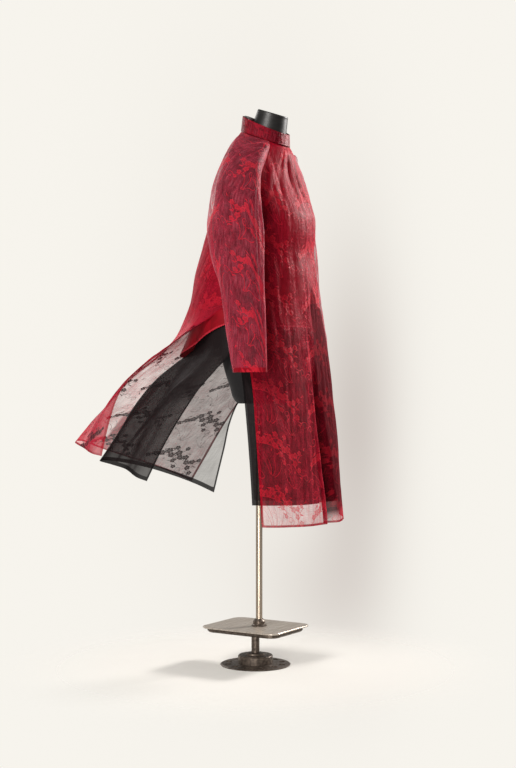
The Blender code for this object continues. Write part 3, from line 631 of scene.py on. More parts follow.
def figurePlaces(across, down, figures, reach):
    # for each place the nearest blossom or fan: position in its own frame, in its radii, and 1
    # inside its reach, falling to 0 outside it
    best, where = np.full(across.shape, 1e9), np.zeros(across.shape + (2,))
    for px, py, radius, turn in figures:
        dx, dy = wrapped(across, down, px, py)
        a = math.radians(turn)
        x = (dx * math.cos(a) + dy * math.sin(a)) / radius
        y = (dy * math.cos(a) - dx * math.sin(a)) / radius
        away = np.hypot(x, y)
        near = away < best
        best = np.where(near, away, best)
        where = np.where(near[..., None], np.stack((x, y), -1), where)
    within = clamped((reach - best) / 0.2)
    return np.concatenate((np.clip(where, -2.0, 2.0), within[..., None]), -1)


# ---------- making pieces


def smoothMesh(name, grid, closed, material, fields, outside=True):
    # a grid as a smooth-shaded mesh whose faces look outwards, with its own flat map, clear of
    # the map's edges, and one value of each field per point
    margin = 0.004
    rows, cols = grid.shape[:2]
    faces = quads(rows, cols, closed)
    if not outside:
        faces = faces[:, ::-1]
    mesh = bpy.data.meshes.new(name)
    mesh.from_pydata(grid.reshape(-1, 3), [], faces)
    mesh.shade_smooth()
    i, j = faces // cols, faces % cols
    if closed:
        j = np.where((j == 0) & (j.max(1, keepdims=True) == cols - 1), cols, j)
    flat = np.stack((j / (cols if closed else cols - 1), 1 - i / (rows - 1)), -1)
    layer = mesh.uv_layers.new(name="OFBake")
    layer.data.foreach_set("uv", (margin + (1 - 2 * margin) * flat).astype(np.float32).ravel())
    for key, value in fields.items():
        kind, slot = ("FLOAT_VECTOR", "vector") if value.ndim == 3 else ("FLOAT", "value")
        made = mesh.attributes.new(key, kind, "POINT")
        made.data.foreach_set(slot, np.ascontiguousarray(value, np.float32).ravel())
    mesh.materials.append(material)
    piece = bpy.data.objects.new(name, mesh)
    scene.collection.objects.link(piece)
    return piece


drapes = {
    # how far below the slits the cloth hangs free, and the widths of the strips beside a seam,
    # below the top edge and above the hem where creases die away
    "free": 0.10, "side": 0.02, "top": 0.05, "bottom": 0.05,
    # where the free sides start to stand out, and where round a tube the pattern is set out
    "widenFrom": 0.10, "patternFrom": 0.35,
    # sizes of the noise across and down the cloth, and how high the fine crinkle is
    "crinkle": (0.045, 0.090), "fine": (0.018, 0.030), "ripple": (0.0105, 0.110),
    "sway": (0.085, 0.30), "wave": (0.07, 1.0), "fineShare": 0.45,
}


def drape(name, settings, grid, material):
    # a cloth piece: the fine grid, its creases and crinkle along the normals, and for each
    # point its place on the cut, its distance to the woven shapes and to the doubled edges; one
    # with "rowsBelow" hangs free below the slits, and one with "mirror" is a tube
    given = settings.get
    closed, seed, crinkle = "mirror" in settings, settings["seed"], settings["crinkle"]
    seamAt = lengths(grid, 0).mean(1)[len(seamRows) - 1] if "rowsBelow" in settings else 9.0
    fine = refine(grid, settings["spacing"], closed)
    across, down = flatPlaces(fine, closed)
    out, outside = normals(fine, closed, given("middle", (0.0, 0.0, 0.0)))
    run = down.mean(1)[:, None]
    low = clamped((run - seamAt) / drapes["free"])
    end = down[-1][None, :] - down
    if closed:
        width = across[:, -1:] + np.linalg.norm(fine[:, :1] - fine[:, -1:], axis=-1)
        if settings["mirror"]:
            across = width - across
        side = np.minimum(across, width - across)
    else:
        width = across[:, -1:] - across[:, :1]
        side = np.minimum(across - across[:, :1], across[:, -1:] - across)
    height = creaseHeights(across, down, given("creases", ()))
    for amount, size, offset in (
            (crinkle, "crinkle", 0), (drapes["fineShare"] * crinkle, "fine", 1),
            (given("ripple", 0.0), "ripple", 3), (given("sway", 0.0) * low, "sway", 2)):
        height += amount * softNoise(across, down, drapes[size], seed + offset)
    # edges that are sewn to a neighbour stay where the seam is
    sewn = 1.0 if closed else np.where(run < seamAt, clamped(side / drapes["side"]), 1.0)
    fine = fine + out * (height * sewn * clamped(down / drapes["top"]))[..., None]
    if "widen" in settings:
        # the free sides stand further out
        outwards = clamped(np.abs(across) / drapes["widenFrom"] - 1) ** 2 * np.sign(across)
        along = np.gradient(fine, axis=1)
        along /= np.linalg.norm(along, axis=-1, keepdims=True)
        fine = fine + along * (settings["widen"] * low * outwards)[..., None]
    if "wave" in settings:
        # the lower edge dips and rises
        rise, long = settings["wave"]
        drift = 3 * softNoise(across, 0 * down, drapes["wave"], seed + 4)
        near = clamped(1 - end / drapes["bottom"]) ** 2
        fine[..., 2] += rise * near * np.sin(2 * math.pi * across / long + drift)
    # mm from the turned hems and from the sewn seams; 9 is clear of either
    free = run > seamAt
    hem = 1000 * (end - settings["hem"])
    hem = np.minimum(hem, np.where(free, 1000 * (side - given("sideHem", 0.0)), 9.0))
    seam = 1000 * (down - settings["seam"])
    seam = np.minimum(seam, np.where(free, 9.0, 1000 * (side - settings["seam"])))
    for path, half in given("bands", ()):
        hem = np.minimum(hem, bandDepth(across, down, metres(path), half))
    fields = {
        "clothPlace": np.stack((across, down, 0 * down), -1),
        "hemEdge": np.clip(hem, -60.0, 20.0),
        "seamEdge": np.clip(seam, -20.0, 20.0),
        # the share that hangs free below the slits, where the finish paints a brighter ground for
        # light let through and darker blooms for shade
        "hanging": low * given("dim", 0.0) + 0 * down,
        "foldedOver": stripShare(across, down, given("folded", ())),
        # the share of painted shade, from the strips given
        "pleated": stripShare(across, down, given("pleats", ())),
    }
    if "shift" in settings:
        # on a tube the pattern is set out from the line down its outer side
        u = across + settings["shift"][0] - (drapes["patternFrom"] * width if closed else 0.0)
        v = down + settings["shift"][1]
        fields["strokePlace"] = strokePlaces(u, v)
        fields["bloomPlace"] = figurePlaces(u, v, weave["blossoms"], weave["bloomReach"])
        fields["fanPlace"] = figurePlaces(u, v, weave["fans"], weave["fanReach"])
    piece = smoothMesh(name, fine, closed, material, fields, outside)
    print(name, "cut", round(float(width.max()), 3), "x", round(float(down.max()), 3),
          "faces", len(piece.data.polygons))
    return piece


def standsFor(piece):
    # rides on the object in place of its CAD node, which has the same name in small letters
    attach(piece, "root")
    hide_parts("".join("_" + c.lower() if c.isupper() else c for c in piece.name))


def wear(piece):
    # rides on the object in place of its CAD node
    standsFor(piece)


# ---------- finishes


def stretched(add, place, scale, detail=2.0):
    # noise drawn out along the warp or the weft by its scale
    mapped = add("Mapping", {"Vector": place, "Scale": scale})
    return add("TexNoise", {"Vector": mapped, "Scale": 1.0, "Detail": detail})


def wovenSpray(add, hanging):
    # the share of the ground closed by the woven figures: twigs and leaves, five-petalled
    # blossoms with a rim and an open ring round the heart, and fans of thin ribs and arcs
    def parts(name):
        return add("SeparateXYZ", add("Attribute", out="Vector", attribute_name=name), out=None)

    def polar(name):
        x, y, within = parts(name)
        away = add("SQRT", add("ADD", add("MULTIPLY", x, x), add("MULTIPLY", y, y)))
        return away, add("ARCTAN2", y, x), add("MapRange", within, 0.3, 0.9, **smooth)

    def line(value, half, soft):
        # 1 where a value is within half of zero, easing to 0 over soft
        return add("MapRange", add("ABSOLUTE", value), half + soft, max(half - soft, 0.0),
                   **smooth)

    # lines: within half their width of the middle, and not past their ends
    side, away, half = parts("strokePlace")
    reach = add("SUBTRACT", half, add("ABSOLUTE", side))
    beside = add("SUBTRACT", add("ADD", half, 1.4), away)
    lines = add("MULTIPLY", add("MapRange", reach, -0.45, 0.15, **smooth),
                add("MapRange", beside, -0.3, 0.3, **smooth))

    # blossoms: the lobes are 1 along five petals and 0 between them, under 25 fine rays
    away, angle, within = polar("bloomPlace")
    lobe = add("ABSOLUTE", add("COSINE", add("MULTIPLY", angle, 2.5)))
    outline = add("MULTIPLY_ADD", add("POWER", lobe, 0.6), 0.36, 0.62)
    edge = add("SUBTRACT", away, outline)
    petal = add("MapRange", edge, 0.06, -0.06, **smooth)
    parted = add("MapRange", lobe, 0.02, 0.16, 0.35, 1.0, **smooth)
    rays = add("ABSOLUTE", add("SINE", add("MULTIPLY", angle, 12.5)))
    ray = add("MapRange", rays, 0.1, 0.8, 0.78, 1.0, **smooth)
    ring = line(add("SUBTRACT", away, 0.24), 0.04, 0.05)
    inner = add("MULTIPLY", add("MULTIPLY", parted, ray), add("MULTIPLY_ADD", ring, -0.35, 1.0))
    rim = line(add("ADD", edge, 0.06), 0.06, 0.04)
    # a worn bloom shows its rim more than its filling; hanging free it reads as one dark shape
    inner = add("MULTIPLY", inner, add("MapRange", hanging, 0.0, 1.0, 0.78, 1.0, **smooth))
    bloom = add("MULTIPLY", add("MULTIPLY", petal, add("MAXIMUM", inner, rim)), within)

    # fans: a radian to each side, ribs that bend a little and scalloped arcs 0.2 radii apart
    away, angle, within = polar("fanPlace")
    spread = add("MapRange", add("ABSOLUTE", angle), 1.06, 0.98, **smooth)
    body = add("MapRange", away, 0.98, 0.90, **smooth)
    spokes = add("ADD", add("MULTIPLY", angle, 10.0), add("MULTIPLY", away, 2.4))
    ribs = add("MULTIPLY", line(add("SINE", spokes), 0.10, 0.12),
               add("MapRange", away, 0.25, 0.5, **smooth))
    scallops = add("MULTIPLY", add("COSINE", add("MULTIPLY", angle, 8.0)), 0.5)
    hoops = add("ADD", add("MULTIPLY", away, 15.7), scallops)
    arcs = add("MULTIPLY", line(add("SINE", hoops), 0.12, 0.14),
               add("MapRange", away, 0.50, 0.62, **smooth))
    fan = add("MULTIPLY", add("MAXIMUM", ribs, arcs),
              add("MULTIPLY", add("MULTIPLY", spread, body), within))
    return bloom, lines, fan


def sheerCloth(name, look):
    # organza: crisp plain weave of fine twisted filaments with open gaps, so it shows what is
    # behind it, closes as it turns away from the eye and shines softly along its creases
    material, add = emptied(bpy.data.materials.new(name))
    place = add("Attribute", out="Vector", attribute_name="clothPlace")
    hanging, folded, pleated, hemEdge, seamEdge = [
        add("Attribute", out="Fac", attribute_name=field)
        for field in ("hanging", "foldedOver", "pleated", "hemEdge", "seamEdge")]
    # threads are 0.2 mm apart, too fine to show; the slubs drawn here are 1.6 x 40 mm along the
    # warp and 17 x 2 mm along the weft
    slubs = stretched(add, place, (620.0, 26.0, 1.0), 1.0)
    weft = stretched(add, place, (60.0, 520.0, 1.0))
    # the crape of the twisted threads: grains of 2 x 5 mm, in soft crinkles of 8 x 22 mm
    grain = stretched(add, place, (520.0, 210.0, 1.0))
    mottle = stretched(add, place, (120.0, 45.0, 1.0), 5.0)
    # and the weave is closer and more open in patches of 30 x 45 mm
    cloud = stretched(add, place, (34.0, 22.0, 1.0), 3.0)
    uneven = add("ADD", add("MULTIPLY", slubs, 0.55), add("MULTIPLY", weft, 0.45))
    doubled = add("MAXIMUM", add("MapRange", hemEdge, 0.7, -0.7, **smooth),
                  add("MULTIPLY", add("MapRange", seamEdge, 0.7, -0.7, **smooth),
                      look["seamCover"]))
    cover = add("MapRange", hanging, 0.0, 1.0, *look["cover"], **smooth)
    for source, amount in (uneven, look["unevenCover"]), (cloud, look["cloudy"]):
        cover = add("MULTIPLY", cover, add("MapRange", source, 0.30, 0.70, 1.0 - amount,
                                           1.0 + amount, **smooth))
    # painted shade closes the cloth almost fully where its share is high
    for share, closed in ((folded, look["foldCover"]), (pleated, 0.985),
                          (doubled, look["hemCover"])):
        cover = add("Mix", {0: share, 2: cover, 3: closed})
    tone = add("ADD", add("MULTIPLY", mottle, 0.45), add("MULTIPLY", grain, 0.55))
    base = linear(look["shade"])
    for share, key in (
            (add("MapRange", tone, 0.38, 0.62, **smooth), "colour"),
            (add("MapRange", slubs, 0.46, 0.66, 0.0, 0.5, **smooth), "thread"),
            # where the cloth hangs free its ground turns to a brighter red, painted light let
            # through it; under the painted shade it turns to the deep red
            (hanging, "colourHanging"), (folded, "folded"), (pleated, "deep"),
            (doubled, "hemColour")):
        base = add("Mix", {0: share, 6: base, 7: linear(look[key])}, **inColour)
    raised = add("MULTIPLY", doubled, 0.5)
    if "bloom" in look:
        # the spray is woven in with thicker satin threads that lie on the ground and close it
        bloom, lines, fan = wovenSpray(add, hanging)
        filled = add("MapRange", hanging, 0.0, 1.0, *look["fillCover"], **smooth)
        spray = add("MAXIMUM", add("MULTIPLY", bloom, filled),
                    add("MULTIPLY", lines, look["lineCover"]))
        spray = add("MAXIMUM", spray, add("MULTIPLY", fan, look["fanCover"]))
        cover = add("MAXIMUM", cover, spray)
        # where the cloth hangs free the blooms turn near black: partly their wrong side, partly
        # painted shade of threads seen against the light
        worn = add("Mix", {0: hanging, 6: linear(look["bloom"]), 7: linear(look["bloomHanging"])},
                   **inColour)
        # the spray fades under the painted shade
        spray = add("MULTIPLY", spray, add("MULTIPLY_ADD", pleated, -0.75, 1.0))
        base = add("Mix", {0: add("MULTIPLY", spray, 1.1, use_clamp=True), 6: base, 7: worn},
                   **inColour)
        raised = add("ADD", raised, spray)
    # a thin open cloth seen at a slant lets less through: what passes is the straight share
    # raised to one over the cosine of the slant, softened since the threads are round
    slant = add("LayerWeight", 0.5, out="Facing")
    cosine = add("MAXIMUM", add("SUBTRACT", 1.0, slant), 0.08)
    passes = add("POWER", add("SUBTRACT", 1.0, cover), add("POWER", cosine, -look["slant"]))
    alpha = add("SUBTRACT", 1.0, passes, use_clamp=True)
    relief = add("ADD", add("MULTIPLY", raised, 0.6), add("MULTIPLY", uneven, 0.5))
    bump = add("Bump", {"Strength": 0.6, "Distance": 0.0008, "Height": relief})
    for source, depth in (grain, 0.0016), (mottle, 0.005):
        bump = add("Bump", {"Strength": look["crinkle"], "Distance": depth, "Height": source,
                            "Normal": bump})
    shader = add("BsdfPrincipled", {
        "Base Color": base, "Alpha": alpha, "Normal": bump,
        # the painted shade is made rough, so it shows little gloss
        "Roughness": add("MapRange", pleated, 0.0, 1.0, look["roughness"], 0.95, **smooth),
        "Specular IOR Level": look["gloss"], "Specular Tint": linear(look["glossTint"]),
        "Sheen Weight": look["sheen"], "Sheen Roughness": look["sheenRoughness"],
        "Sheen Tint": linear(look["sheenTint"])})
    add("OutputMaterial", shader, out=None)
    return material


redLook = {
    # deep is the dark red of the painted shade
    "colour": "#E22442", "shade": "#960E22", "thread": "#C0243E", "deep": "#34040A",
    # colourHanging is a brighter red, painted light let through the cloth where it hangs free
    "colourHanging": "#F03A50", "folded": "#B01A34", "cover": (0.30, 0.31), "unevenCover": 0.38,
    "cloudy": 0.25, "slant": 0.9, "foldCover": 0.84, "hemCover": 0.84, "hemColour": "#A20E24",
    # bloomHanging is the near black of the blooms there: partly their wrong side, partly painted
    # shade
    "seamCover": 0.75, "bloom": "#D42636", "bloomHanging": "#26050C", "fillCover": (0.84, 0.95),
    "lineCover": 0.70, "fanCover": 0.50, "roughness": 0.46, "gloss": 0.12, "sheen": 0.37,
    "sheenRoughness": 0.30, "sheenTint": "#FF6E80", "glossTint": "#FF6E7C", "crinkle": 0.6,
}
redOrganza = sheerCloth("silkOrganzaRed", redLook)
# the sleeves hang over black; their ground and paler slubs are lifted towards grey as a painted
# sheen, and their own sheen is paler
redSleeve = sheerCloth("silkOrganzaRedSleeve", {
    **redLook, "colour": "#DA3C56", "shade": "#942538", "thread": "#C46878",
    "hemColour": "#8A0C1C", "folded": "#981630", "sheen": 0.42, "sheenTint": "#FFA8B8",
    "gloss": 0.20, "cover": (0.31, 0.31)})
# the collar and its lining lie close together: the same cloth, doubled
redDoubled = sheerCloth("silkOrganzaRedDoubled", {
    **redLook, "colour": "#7C0C1E", "shade": "#520712", "thread": "#8A3442",
    "bloom": "#98182A", "cover": (0.90, 0.90),
    "hemColour": "#6A0A18", "hemCover": 0.94, "gloss": 0.30, "sheen": 0.02})
blackLook = {
    "colour": "#1C1516", "shade": "#130E0F", "thread": "#2A2324", "deep": "#080606",
    "colourHanging": "#1C1516", "folded": "#1C1516", "cover": (0.47, 0.47), "unevenCover": 0.14,
    "cloudy": 0.10, "slant": 0.6, "foldCover": 0.965, "hemCover": 0.95, "hemColour": "#120E0F",
    "seamCover": 0.8, "roughness": 0.50, "gloss": 0.10, "sheen": 0.01, "sheenRoughness": 0.4,
    "sheenTint": "#B8A8A8", "glossTint": "#FFFFFF", "crinkle": 0.30,
}
blackOrganza = sheerCloth("silkOrganzaBlack", blackLook)
# the front of the inner tunic hangs close and doubled, so it lets little through
blackClose = sheerCloth("silkOrganzaBlackClose", {
    **blackLook, "cover": (0.985, 0.985), "unevenCover": 0.01, "cloudy": 0.0, "sheen": 0.0})


def liningCloth():
    # red habotai lining: close, smooth and limp, so it is opaque with a low soft shine
    material, add = emptied(bpy.data.materials.new("habotaiRed"))
    place = add("Attribute", out="Vector", attribute_name="clothPlace")
    edge = add("Attribute", out="Fac", attribute_name="hemEdge")
    # slubs of 1.6 x 17 mm and soft changes of colour over 40 x 50 mm
    slubs = stretched(add, place, (620.0, 60.0, 1.0))
    mottle = stretched(add, place, (26.0, 20.0, 1.0), 4.0)
    # picot stitches 6 mm apart along the hem, raised and drawn in a paler red as a painted
    # highlight
    across = add("SeparateXYZ", place)
    dots = add("MapRange", add("SINE", add("MULTIPLY", across, 1100.0)), 0.0, 0.6, **smooth)
    picots = add("MULTIPLY", add("MapRange", edge, 0.5, -1.0, **smooth), dots)
    base = linear("#880616")
    for share, colour in ((add("MapRange", mottle, 0.35, 0.65, **smooth), "#6A040D"),
                          (add("MULTIPLY", slubs, 0.25), "#B41428"), (picots, "#E0384A")):
        base = add("Mix", {0: share, 6: base, 7: linear(colour)}, **inColour)
    relief = add("ADD", picots, add("MULTIPLY", slubs, 0.4))
    bump = add("Bump", {"Strength": 0.5, "Distance": 0.0006, "Height": relief})
    bump = add("Bump", {"Strength": 0.3, "Distance": 0.004, "Height": mottle, "Normal": bump})
    shader = add("BsdfPrincipled", {
        "Base Color": base, "Normal": bump, "Roughness": 0.50, "Specular IOR Level": 0.12,
        "Sheen Weight": 0.02, "Sheen Roughness": 0.4, "Sheen Tint": linear("#FF9AA6")})
    add("OutputMaterial", shader, out=None)
    return material


redLining = liningCloth()


def solidFinish(name, first, second, roughness, scale, depth, detail=4.0, **values):
    # a solid finish: noise in the object's own place, of scale grains a metre, moves it between
    # two colours and two roughnesses and lifts it by a depth; values are for other sockets
    material, add = emptied(bpy.data.materials.new(name))
    grain = stretched(add, add("TexCoord", out="Object"), scale, detail)
    base = add("Mix", {0: add("MapRange", grain, 0.3, 0.7, **smooth), 6: linear(first),
                       7: linear(second)}, **inColour)
    bump = add("Bump", {"Strength": 0.6, "Distance": depth, "Height": grain})
    shader = add("BsdfPrincipled", {
        "Base Color": base, "Normal": bump,
        "Roughness": add("MapRange", grain, 0.25, 0.75, *roughness, **smooth),
        **{key.replace("_", " "): value for key, value in values.items()}})
    add("OutputMaterial", shader, out=None)
    return material


# cotton jersey over the form: matt, close knit, its 0.6 mm stitches drawn 3 mm wide, 1.4 tall
formJersey = solidFinish("cottonJersey", "#191819", "#232122", (0.80, 0.95), (300, 300, 700),
                         0.0004, 3.0, Sheen_Weight=0.08, Sheen_Roughness=0.5,
                         Specular_IOR_Level=0.2)
# turned and lacquered neck block: black, satin, with turning marks 4 mm apart under the lacquer
capLacquer = solidFinish("lacquerBlack", "#110F0E", "#191615", (0.36, 0.50), (30, 30, 260),
                         0.0001, 3.0, Coat_Weight=0.12, Coat_Roughness=0.25)
# drawn brass tube: warm, polished, with drawing marks 2 mm wide and 125 mm long
poleBrass = solidFinish("brassDrawn", "#C2B3A2", "#A99884", (0.18, 0.32), (500, 500, 8),
                        0.00005, Metallic=0.6)
# rolled steel sheet: brushed and handled, with stains and scratches 60 mm long and 5 mm wide
plateSteel = solidFinish("steelRolled", "#D6CCC0", "#B4A99C", (0.26, 0.44), (16, 190, 60),
                         0.0001, 5.0, Metallic=0.55)
# cast iron under dark oil: brown-black, with pits 7 mm across
baseIron = solidFinish("ironOiled", "#74685E", "#4C433C", (0.34, 0.52), (140, 140, 140),
                       0.0003, 5.0, Metallic=0.7)


# ---------- the garment, from the outside in
# "slot" names the finish and "over" the node that the cloth hangs on; "flat" is the cut, width and
# length in metres, and "area" its square metres
tunicFront = {
    "layer": "outer", "side": "Front", "rowsBelow": 9, "slot": "red_organza",
    "over": "lining_front", "flat": (0.47, 1.09), "area": 0.425, "spacing": 0.0024,
    "crinkle": 0.0011, "seed": 11, "sway": 0.003, "ripple": 0.0015,
    "hem": 0.006, "sideHem": 0.006, "seam": 0.008, "shift": (0.05, 0.03),
    # the doubled edge of the front opening, from the neck to the armhole, and half its width
    "bands": ((((-16, 0), (-30, 35), (-85, 129), (-137, 201)), 3.5),),
    "creases": (
        # from u, v to u, v, then width, height and the share of the length where it is highest
        (-10, 0, -46, 120, 6, 4.5, 0.3), (1, 0, -22, 160, 4, -3.5, 0.3),
        (12, 0, -2, 220, 7, 5, 0.3), (22, 10, 26, 260, 7, -3, 0.3), (34, 20, 50, 300, 8, 3.4, 0.3),
        (52, 50, 78, 360, 9, -2.8, 0.4), (-50, 70, -92, 220, 7, -3, 0.4),
        (-66, 60, -125, 180, 6, 3, 0.5), (-20, 260, -40, 460, 10, 3, 0.5),
        (12, 240, 4, 440, 9, -2.8, 0.5), (-90, 300, -110, 500, 10, -2.6, 0.5),
        # the deep fold beside the middle: its near edge and the fold
        (-46, 420, 36, 1060, 9, 5, 0.9), (-28, 430, 60, 1060, 13, -34, 1),
        # and the hanging folds to both sides of it
        (-150, 620, -160, 1050, 22, 4.5, 0.6), (-85, 600, -70, 1050, 24, -5, 0.7),
        (150, 600, 165, 1050, 22, -5, 0.6),
    ),
    "pleats": (
        # share, edge softness, then down the cloth, from, to: painted shade, which darkens and
        # closes the cloth beyond the deep fold, down to the hem of the inner front
        (0.9, 10, (390, 16, 16), (450, 2, 60), (500, 6, 300), (560, 4, 300), (640, 6, 300),
         (700, 10, 300), (900, 27, 300), (1016, 42, 300), (1024, 42, 300)),
        # painted shade along the crease under the collar
        (0.75, 3, (2, -4, 0), (60, -11, -7), (120, -18, -16)),
        # painted shadow of the sleeve on the chest beside it
        (0.75, 50, (140, -300, -110), (450, -300, -130), (720, -300, -150)),
    ),
}
tunicBack = {
    "layer": "outer", "side": "Back", "rowsBelow": 11, "slot": "red_organza",
    "over": "lining_back", "flat": (0.76, 1.21), "area": 0.487, "spacing": 0.0026,
    "crinkle": 0.0008, "seed": 21, "sway": 0.005, "ripple": 0.0009, "dim": 1.0,
    "hem": 0.006, "sideHem": 0.007, "seam": 0.008, "shift": (0.02, 0.07),
    "folded": (
        # share, edge softness, then down the cloth, from, to: where it lies doubled
        (0.85, 40, (600, -420, -300), (720, -340, -225), (850, -300, -180), (940, -300, -165),
         (1020, -300, -115), (1250, -300, -55)),
        (0.8, 6, (800, 22, 36), (950, 30, 50), (1200, 78, 100)),
        (0.5, 10, (660, -110, -85), (900, -80, -50), (1200, 0, 30)),
    ),
    "pleats": (
        # painted shade over the back between the shoulders and the slits
        (0.42, 60, (120, -420, 420), (400, -420, 420), (640, -420, 420)),
    ),
    "creases": (
        (60, 700, 70, 1150, 12, 7, 0.6), (15, 800, 85, 1160, 8, -6, 0.5),
        (-90, 620, -20, 1100, 14, 6, 0.6), (180, 660, 230, 1140, 20, -7, 0.7),
        (-120, 100, -100, 500, 12, 3, 0.5), (0, 60, 0, 520, 14, -3.5, 0.5),
        (110, 100, 100, 520, 12, 3.2, 0.5),
    ),
}
tunicSleeve = {
    "layer": "outer", "slot": "red_organza", "over": "inner_sleeve", "flat": (0.65, 0.74),
    "area": 0.20, "spacing": 0.0024, "crinkle": 0.0007, "seed": 31, "ripple": 0.0009,
    "hem": 0.012, "seam": 0.008, "shift": (0.13, 0.05),
    "folded": ((0.45, 4, (698, -1000, 1000), (860, -1000, 1000)),),
    "creases": (
        # the pressed front edge, then the crease and the pull under the neck
        (93, 80, 50, 840, 4.5, 3.2, 0.12), (266, 82, 206, 30, 5.5, -3.4, 0.4),
        (262, 66, 212, 18, 5, 6.4, 0.5),
        (150, 120, 140, 600, 10, -2.8, 0.4), (120, 100, 105, 660, 8, 2.2, 0.5),
        (190, 160, 185, 550, 10, 2.6, 0.5), (235, 200, 225, 480, 9, -2.6, 0.5),
        (60, 400, 150, 470, 9, -2.6, 0.5), (50, 500, 140, 540, 8, 2.2, 0.5),
    ),
}


def shallower(creases, share):
    # the same creases, at a share of their height
    return [(*crease[:5], share * crease[5], crease[6]) for crease in creases]


liningCut = {
    "layer": "lining", "slot": "crimson_lining", "spacing": 0.0040, "crinkle": 0.0003,
    "hem": 0.005, "sideHem": 0.004, "seam": 0.008,
}
liningFront = {
    **liningCut, "side": "Front", "rowsBelow": 2, "over": "inner_front", "flat": (0.45, 0.56),
    "area": 0.184, "seed": 41, "wave": (0.0010, 0.047),
    "creases": (
        (100, 200, 110, 800, 80, 1.5, 0.5),
        *shallower(tunicFront["creases"][:9], 0.75),
    ),
}
liningBack = {
    **liningCut, "side": "Back", "rowsBelow": 3, "over": "inner_back", "flat": (0.71, 0.66),
    "area": 0.257, "seed": 51, "creases": ((0, 200, 10, 1100, 150, 2.5, 0.5),),
}
innerCut = {
    "layer": "inner", "slot": "black_organza", "over": "form_torso", "seam": 0.007,
}
innerFront = {
    **innerCut, "side": "Front", "rowsBelow": 8, "flat": (0.45, 1.03), "area": 0.385,
    "spacing": 0.0040, "crinkle": 0.0003, "seed": 61, "sway": 0.002, "widen": 0.020,
    "hem": 0.013, "sideHem": 0.005,
    "creases": (
        # follows the deep fold of the cloth over it, and swells beyond it
        (-26, 430, 58, 1020, 16, -30, 1), (100, 420, 124, 1160, 36, 18, 0.8),
        # and half as deeply the creases under the collar, clear of the form
        *shallower(tunicFront["creases"][:9], 0.5),
    ),
}
innerBack = {
    **innerCut, "side": "Back", "rowsBelow": 9, "flat": (0.67, 1.14), "area": 0.49,
    "spacing": 0.0036, "crinkle": 0.0004, "seed": 71, "sway": 0.003, "hem": 0.013,
    "sideHem": 0.005,
    "folded": (
        (0.95, 60, (500, -400, -60), (700, -400, -80), (900, -400, -160)),
        (0.72, 30, (600, -400, -30), (900, -400, -10), (1060, -400, 10), (1300, -400, 10)),
        (0.95, 12, (600, -310, -200), (760, -262, -200), (860, -205, -162), (950, -124, -98),
         (1020, -98, -78), (1150, -86, -68)),
        (0.8, 10, (660, -90, -70), (900, -50, -34), (1150, -30, -10)),
    ),
    "creases": (
        (-235, 700, -85, 1020, 12, 8, 0.5), (-230, 800, -170, 1120, 20, -6, 0.6),
        (60, 600, 90, 1120, 20, 8, 0.6), (200, 620, 220, 1120, 24, -7, 0.6),
    ),
}
innerSleeve = {
    **innerCut, "flat": (0.57, 0.74), "area": 0.164, "spacing": 0.0042, "crinkle": 0.0004,
    "seed": 81, "ripple": 0.0004, "hem": 0.012,
}
collarCloth = {
    "middle": (0.0, collars["middle"], 0.0), "over": "form_torso", "crinkle": 0.0002, "seed": 91,
    "hem": 0.003, "seam": 0.003,
}
tunicCollar = {
    **collarCloth, "layer": "outer", "slot": "red_organza", "flat": (0.42, 0.046),
    "spacing": 0.0018, "wall": 0.0016, "shift": (0.02, 0.045),
}
innerCollar = {
    **collarCloth, "layer": "inner", "slot": "black_organza", "flat": (0.39, 0.048),
    "spacing": 0.0030, "wall": 0.0010,
}


def hangPanel(name, settings, material):
    # a front or a back
    grid = panelGrid(settings["layer"], settings["side"], settings["rowsBelow"])
    wear(drape(name, settings, grid, material))


def hangSleeve(name, settings, material, left):
    # the left one is a mirrored tube over the left arm, with its own seed for the crinkle; an
    # outer one names the inner one of its side in its settings
    side = "Left" if left else "Right"
    grid = sleeveGrid(settings["layer"], left)
    own = {"middle": grid.mean(1).mean(0) * (1, 1, 0), "seed": settings["seed"] + left,
           "mirror": left}
    if settings["layer"] == "outer":
        own["over"] = settings["over"] + "_" + side.lower()
    settings = {**settings, **own}
    wear(drape(name + side, settings, grid, material))


def hangCollar(name, settings, material):
    # a doubled, stiffened band with turned edges
    piece = drape(name, settings, collarGrid(settings["layer"]), material)
    wall = piece.modifiers.new("doubled", "SOLIDIFY")
    wall.thickness = settings["wall"]
    wall.offset = 0.0
    wear(piece)


hangPanel("tunicFront", tunicFront, redOrganza)
hangPanel("tunicBack", tunicBack, redOrganza)
for left in (False, True):
    hangSleeve("tunicSleeve", tunicSleeve, redSleeve, left)
    hangSleeve("innerSleeve", innerSleeve, blackOrganza, left)
hangPanel("liningFront", liningFront, redLining)
hangPanel("liningBack", liningBack, redLining)
hangPanel("innerFront", innerFront, blackClose)
hangPanel("innerBack", innerBack, blackOrganza)
hangCollar("tunicCollar", tunicCollar, redDoubled)
hangCollar("innerCollar", innerCollar, blackOrganza)
print("cloth hung")

# ---------- the form
form = {
    "sides": 120, "rows": 260, "middle": (0.0, -0.03, 0.0), "seamDepth": 0.0012, "seamWide": 2.2,
    "seams": (0.0, 38.0, 88.0, 142.0, 180.0, 218.0, 272.0, 322.0),
    "ends": (0.985, 0.93, 0.75, 0.45, 0.15),
}
neckCap = {
    # y and radius at the foot and at the head, then the head's height and slope
    "foot": (-0.0435, 0.0470), "head": (-0.0566, 0.0410), "headHeight": 1.5100, "slope": 0.345,
    "sides": 96, "round": 0.0022, "gap": 0.0003, "rise": 0.94, "rings": (14, 6),
}


def formSurface():
    # level egg sections through the form's rows; a shallow groove runs down each of its seams
    height = np.linspace(formRows[0][0], formRows[-1][0], form["rows"])
    angle = np.linspace(0.0, 360.0, form["sides"], endpoint=False)
    grid = sectionPoint(formRows, angle[None, :], height[:, None]) + cut["raise"]
    away = [(angle - seam + 180.0) % 360.0 - 180.0 for seam in form["seams"]]
    groove = np.sum(np.exp(-(np.array(away) / form["seamWide"]) ** 2), 0)
    out = normals(grid, True, form["middle"])[0]
    return grid - out * (form["seamDepth"] * groove)[None, :, None]


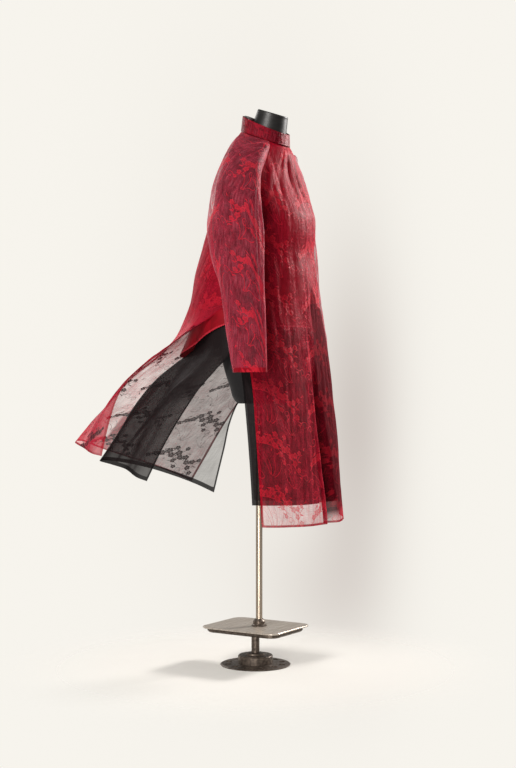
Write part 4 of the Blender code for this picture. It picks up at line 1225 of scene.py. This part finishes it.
def capSurface():
    # rings from the sloping foot to the sloping head, which leans forwards; the top edge is
    # rounded and the head closes to its middle
    turn = np.linspace(0.0, 2 * math.pi, neckCap["sides"], endpoint=False)
    (footY, footR), (headY, headR) = neckCap["foot"], neckCap["head"]
    footAt = formRows[0][0] + cut["raise"][2] + neckCap["gap"]
    middle = (formRows[0][2] + formRows[0][3]) / 2
    straight, bent = neckCap["rings"]
    rings = []
    for k in range(straight + bent):
        s = neckCap["rise"] * k / (straight - 1) if k < straight else 1.0
        a = max(k - straight, 0) / (bent - 1) * math.pi / 2
        inset = neckCap["round"] * (1 - math.cos(a))
        drop = neckCap["round"] * (1 - math.sin(a)) if k >= straight else 0.0
        radius = footR + (headR - footR) * s - inset
        y = footY + (headY - footY) * s + radius * np.sin(turn)
        low = footAt + column(leanRows, 1, formRows[0][0]) * (y - middle)
        high = neckCap["headHeight"] + neckCap["slope"] * (y - headY)
        rings.append(np.stack((radius * np.cos(turn), y, low + (high - low) * s - drop), 1))
    return np.array(rings)


def addClosedTube(name, grid, material):
    # a ring-by-ring tube whose two ends are closed by rounded caps
    head, foot = [[ring.mean(0) + (ring - ring.mean(0)) * share for share in form["ends"]]
                  for ring in (grid[0], grid[-1])]
    full = np.concatenate((head[::-1], grid, foot))
    piece = smoothMesh(name, full, True, material, {})
    rows, cols = full.shape[:2]
    made = bmesh.new()
    made.from_mesh(piece.data)
    made.verts.ensure_lookup_table()
    ends = [[made.verts[row * cols + k] for k in range(cols)] for row in (0, rows - 1)]
    for ring in ends:
        bmesh.ops.pointmerge(made, verts=ring, merge_co=sum((v.co for v in ring), Vector()) / cols)
    bmesh.ops.recalc_face_normals(made, faces=made.faces)
    made.to_mesh(piece.data)
    made.free()
    piece.data.shade_smooth()
    standsFor(piece)


addClosedTube("formTorso", formSurface(), formJersey)
addClosedTube("formNeckCap", capSurface(), capLacquer)
for node, material in (("stand_pole", poleBrass), ("stand_plate", plateSteel),
                       ("stand_pole_collar", baseIron), ("stand_tray", baseIron),
                       ("stand_flange", baseIron), ("stand_column", baseIron),
                       ("stand_drum", baseIron), ("stand_base", baseIron)):
    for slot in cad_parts[node].material_slots:
        slot.material = material
print("form and stand finished")

addCamera()
addLamps()
addWorld()
addFloor()
scene.view_settings.view_transform = "Standard"
scene.cycles.transparent_max_bounces = 32
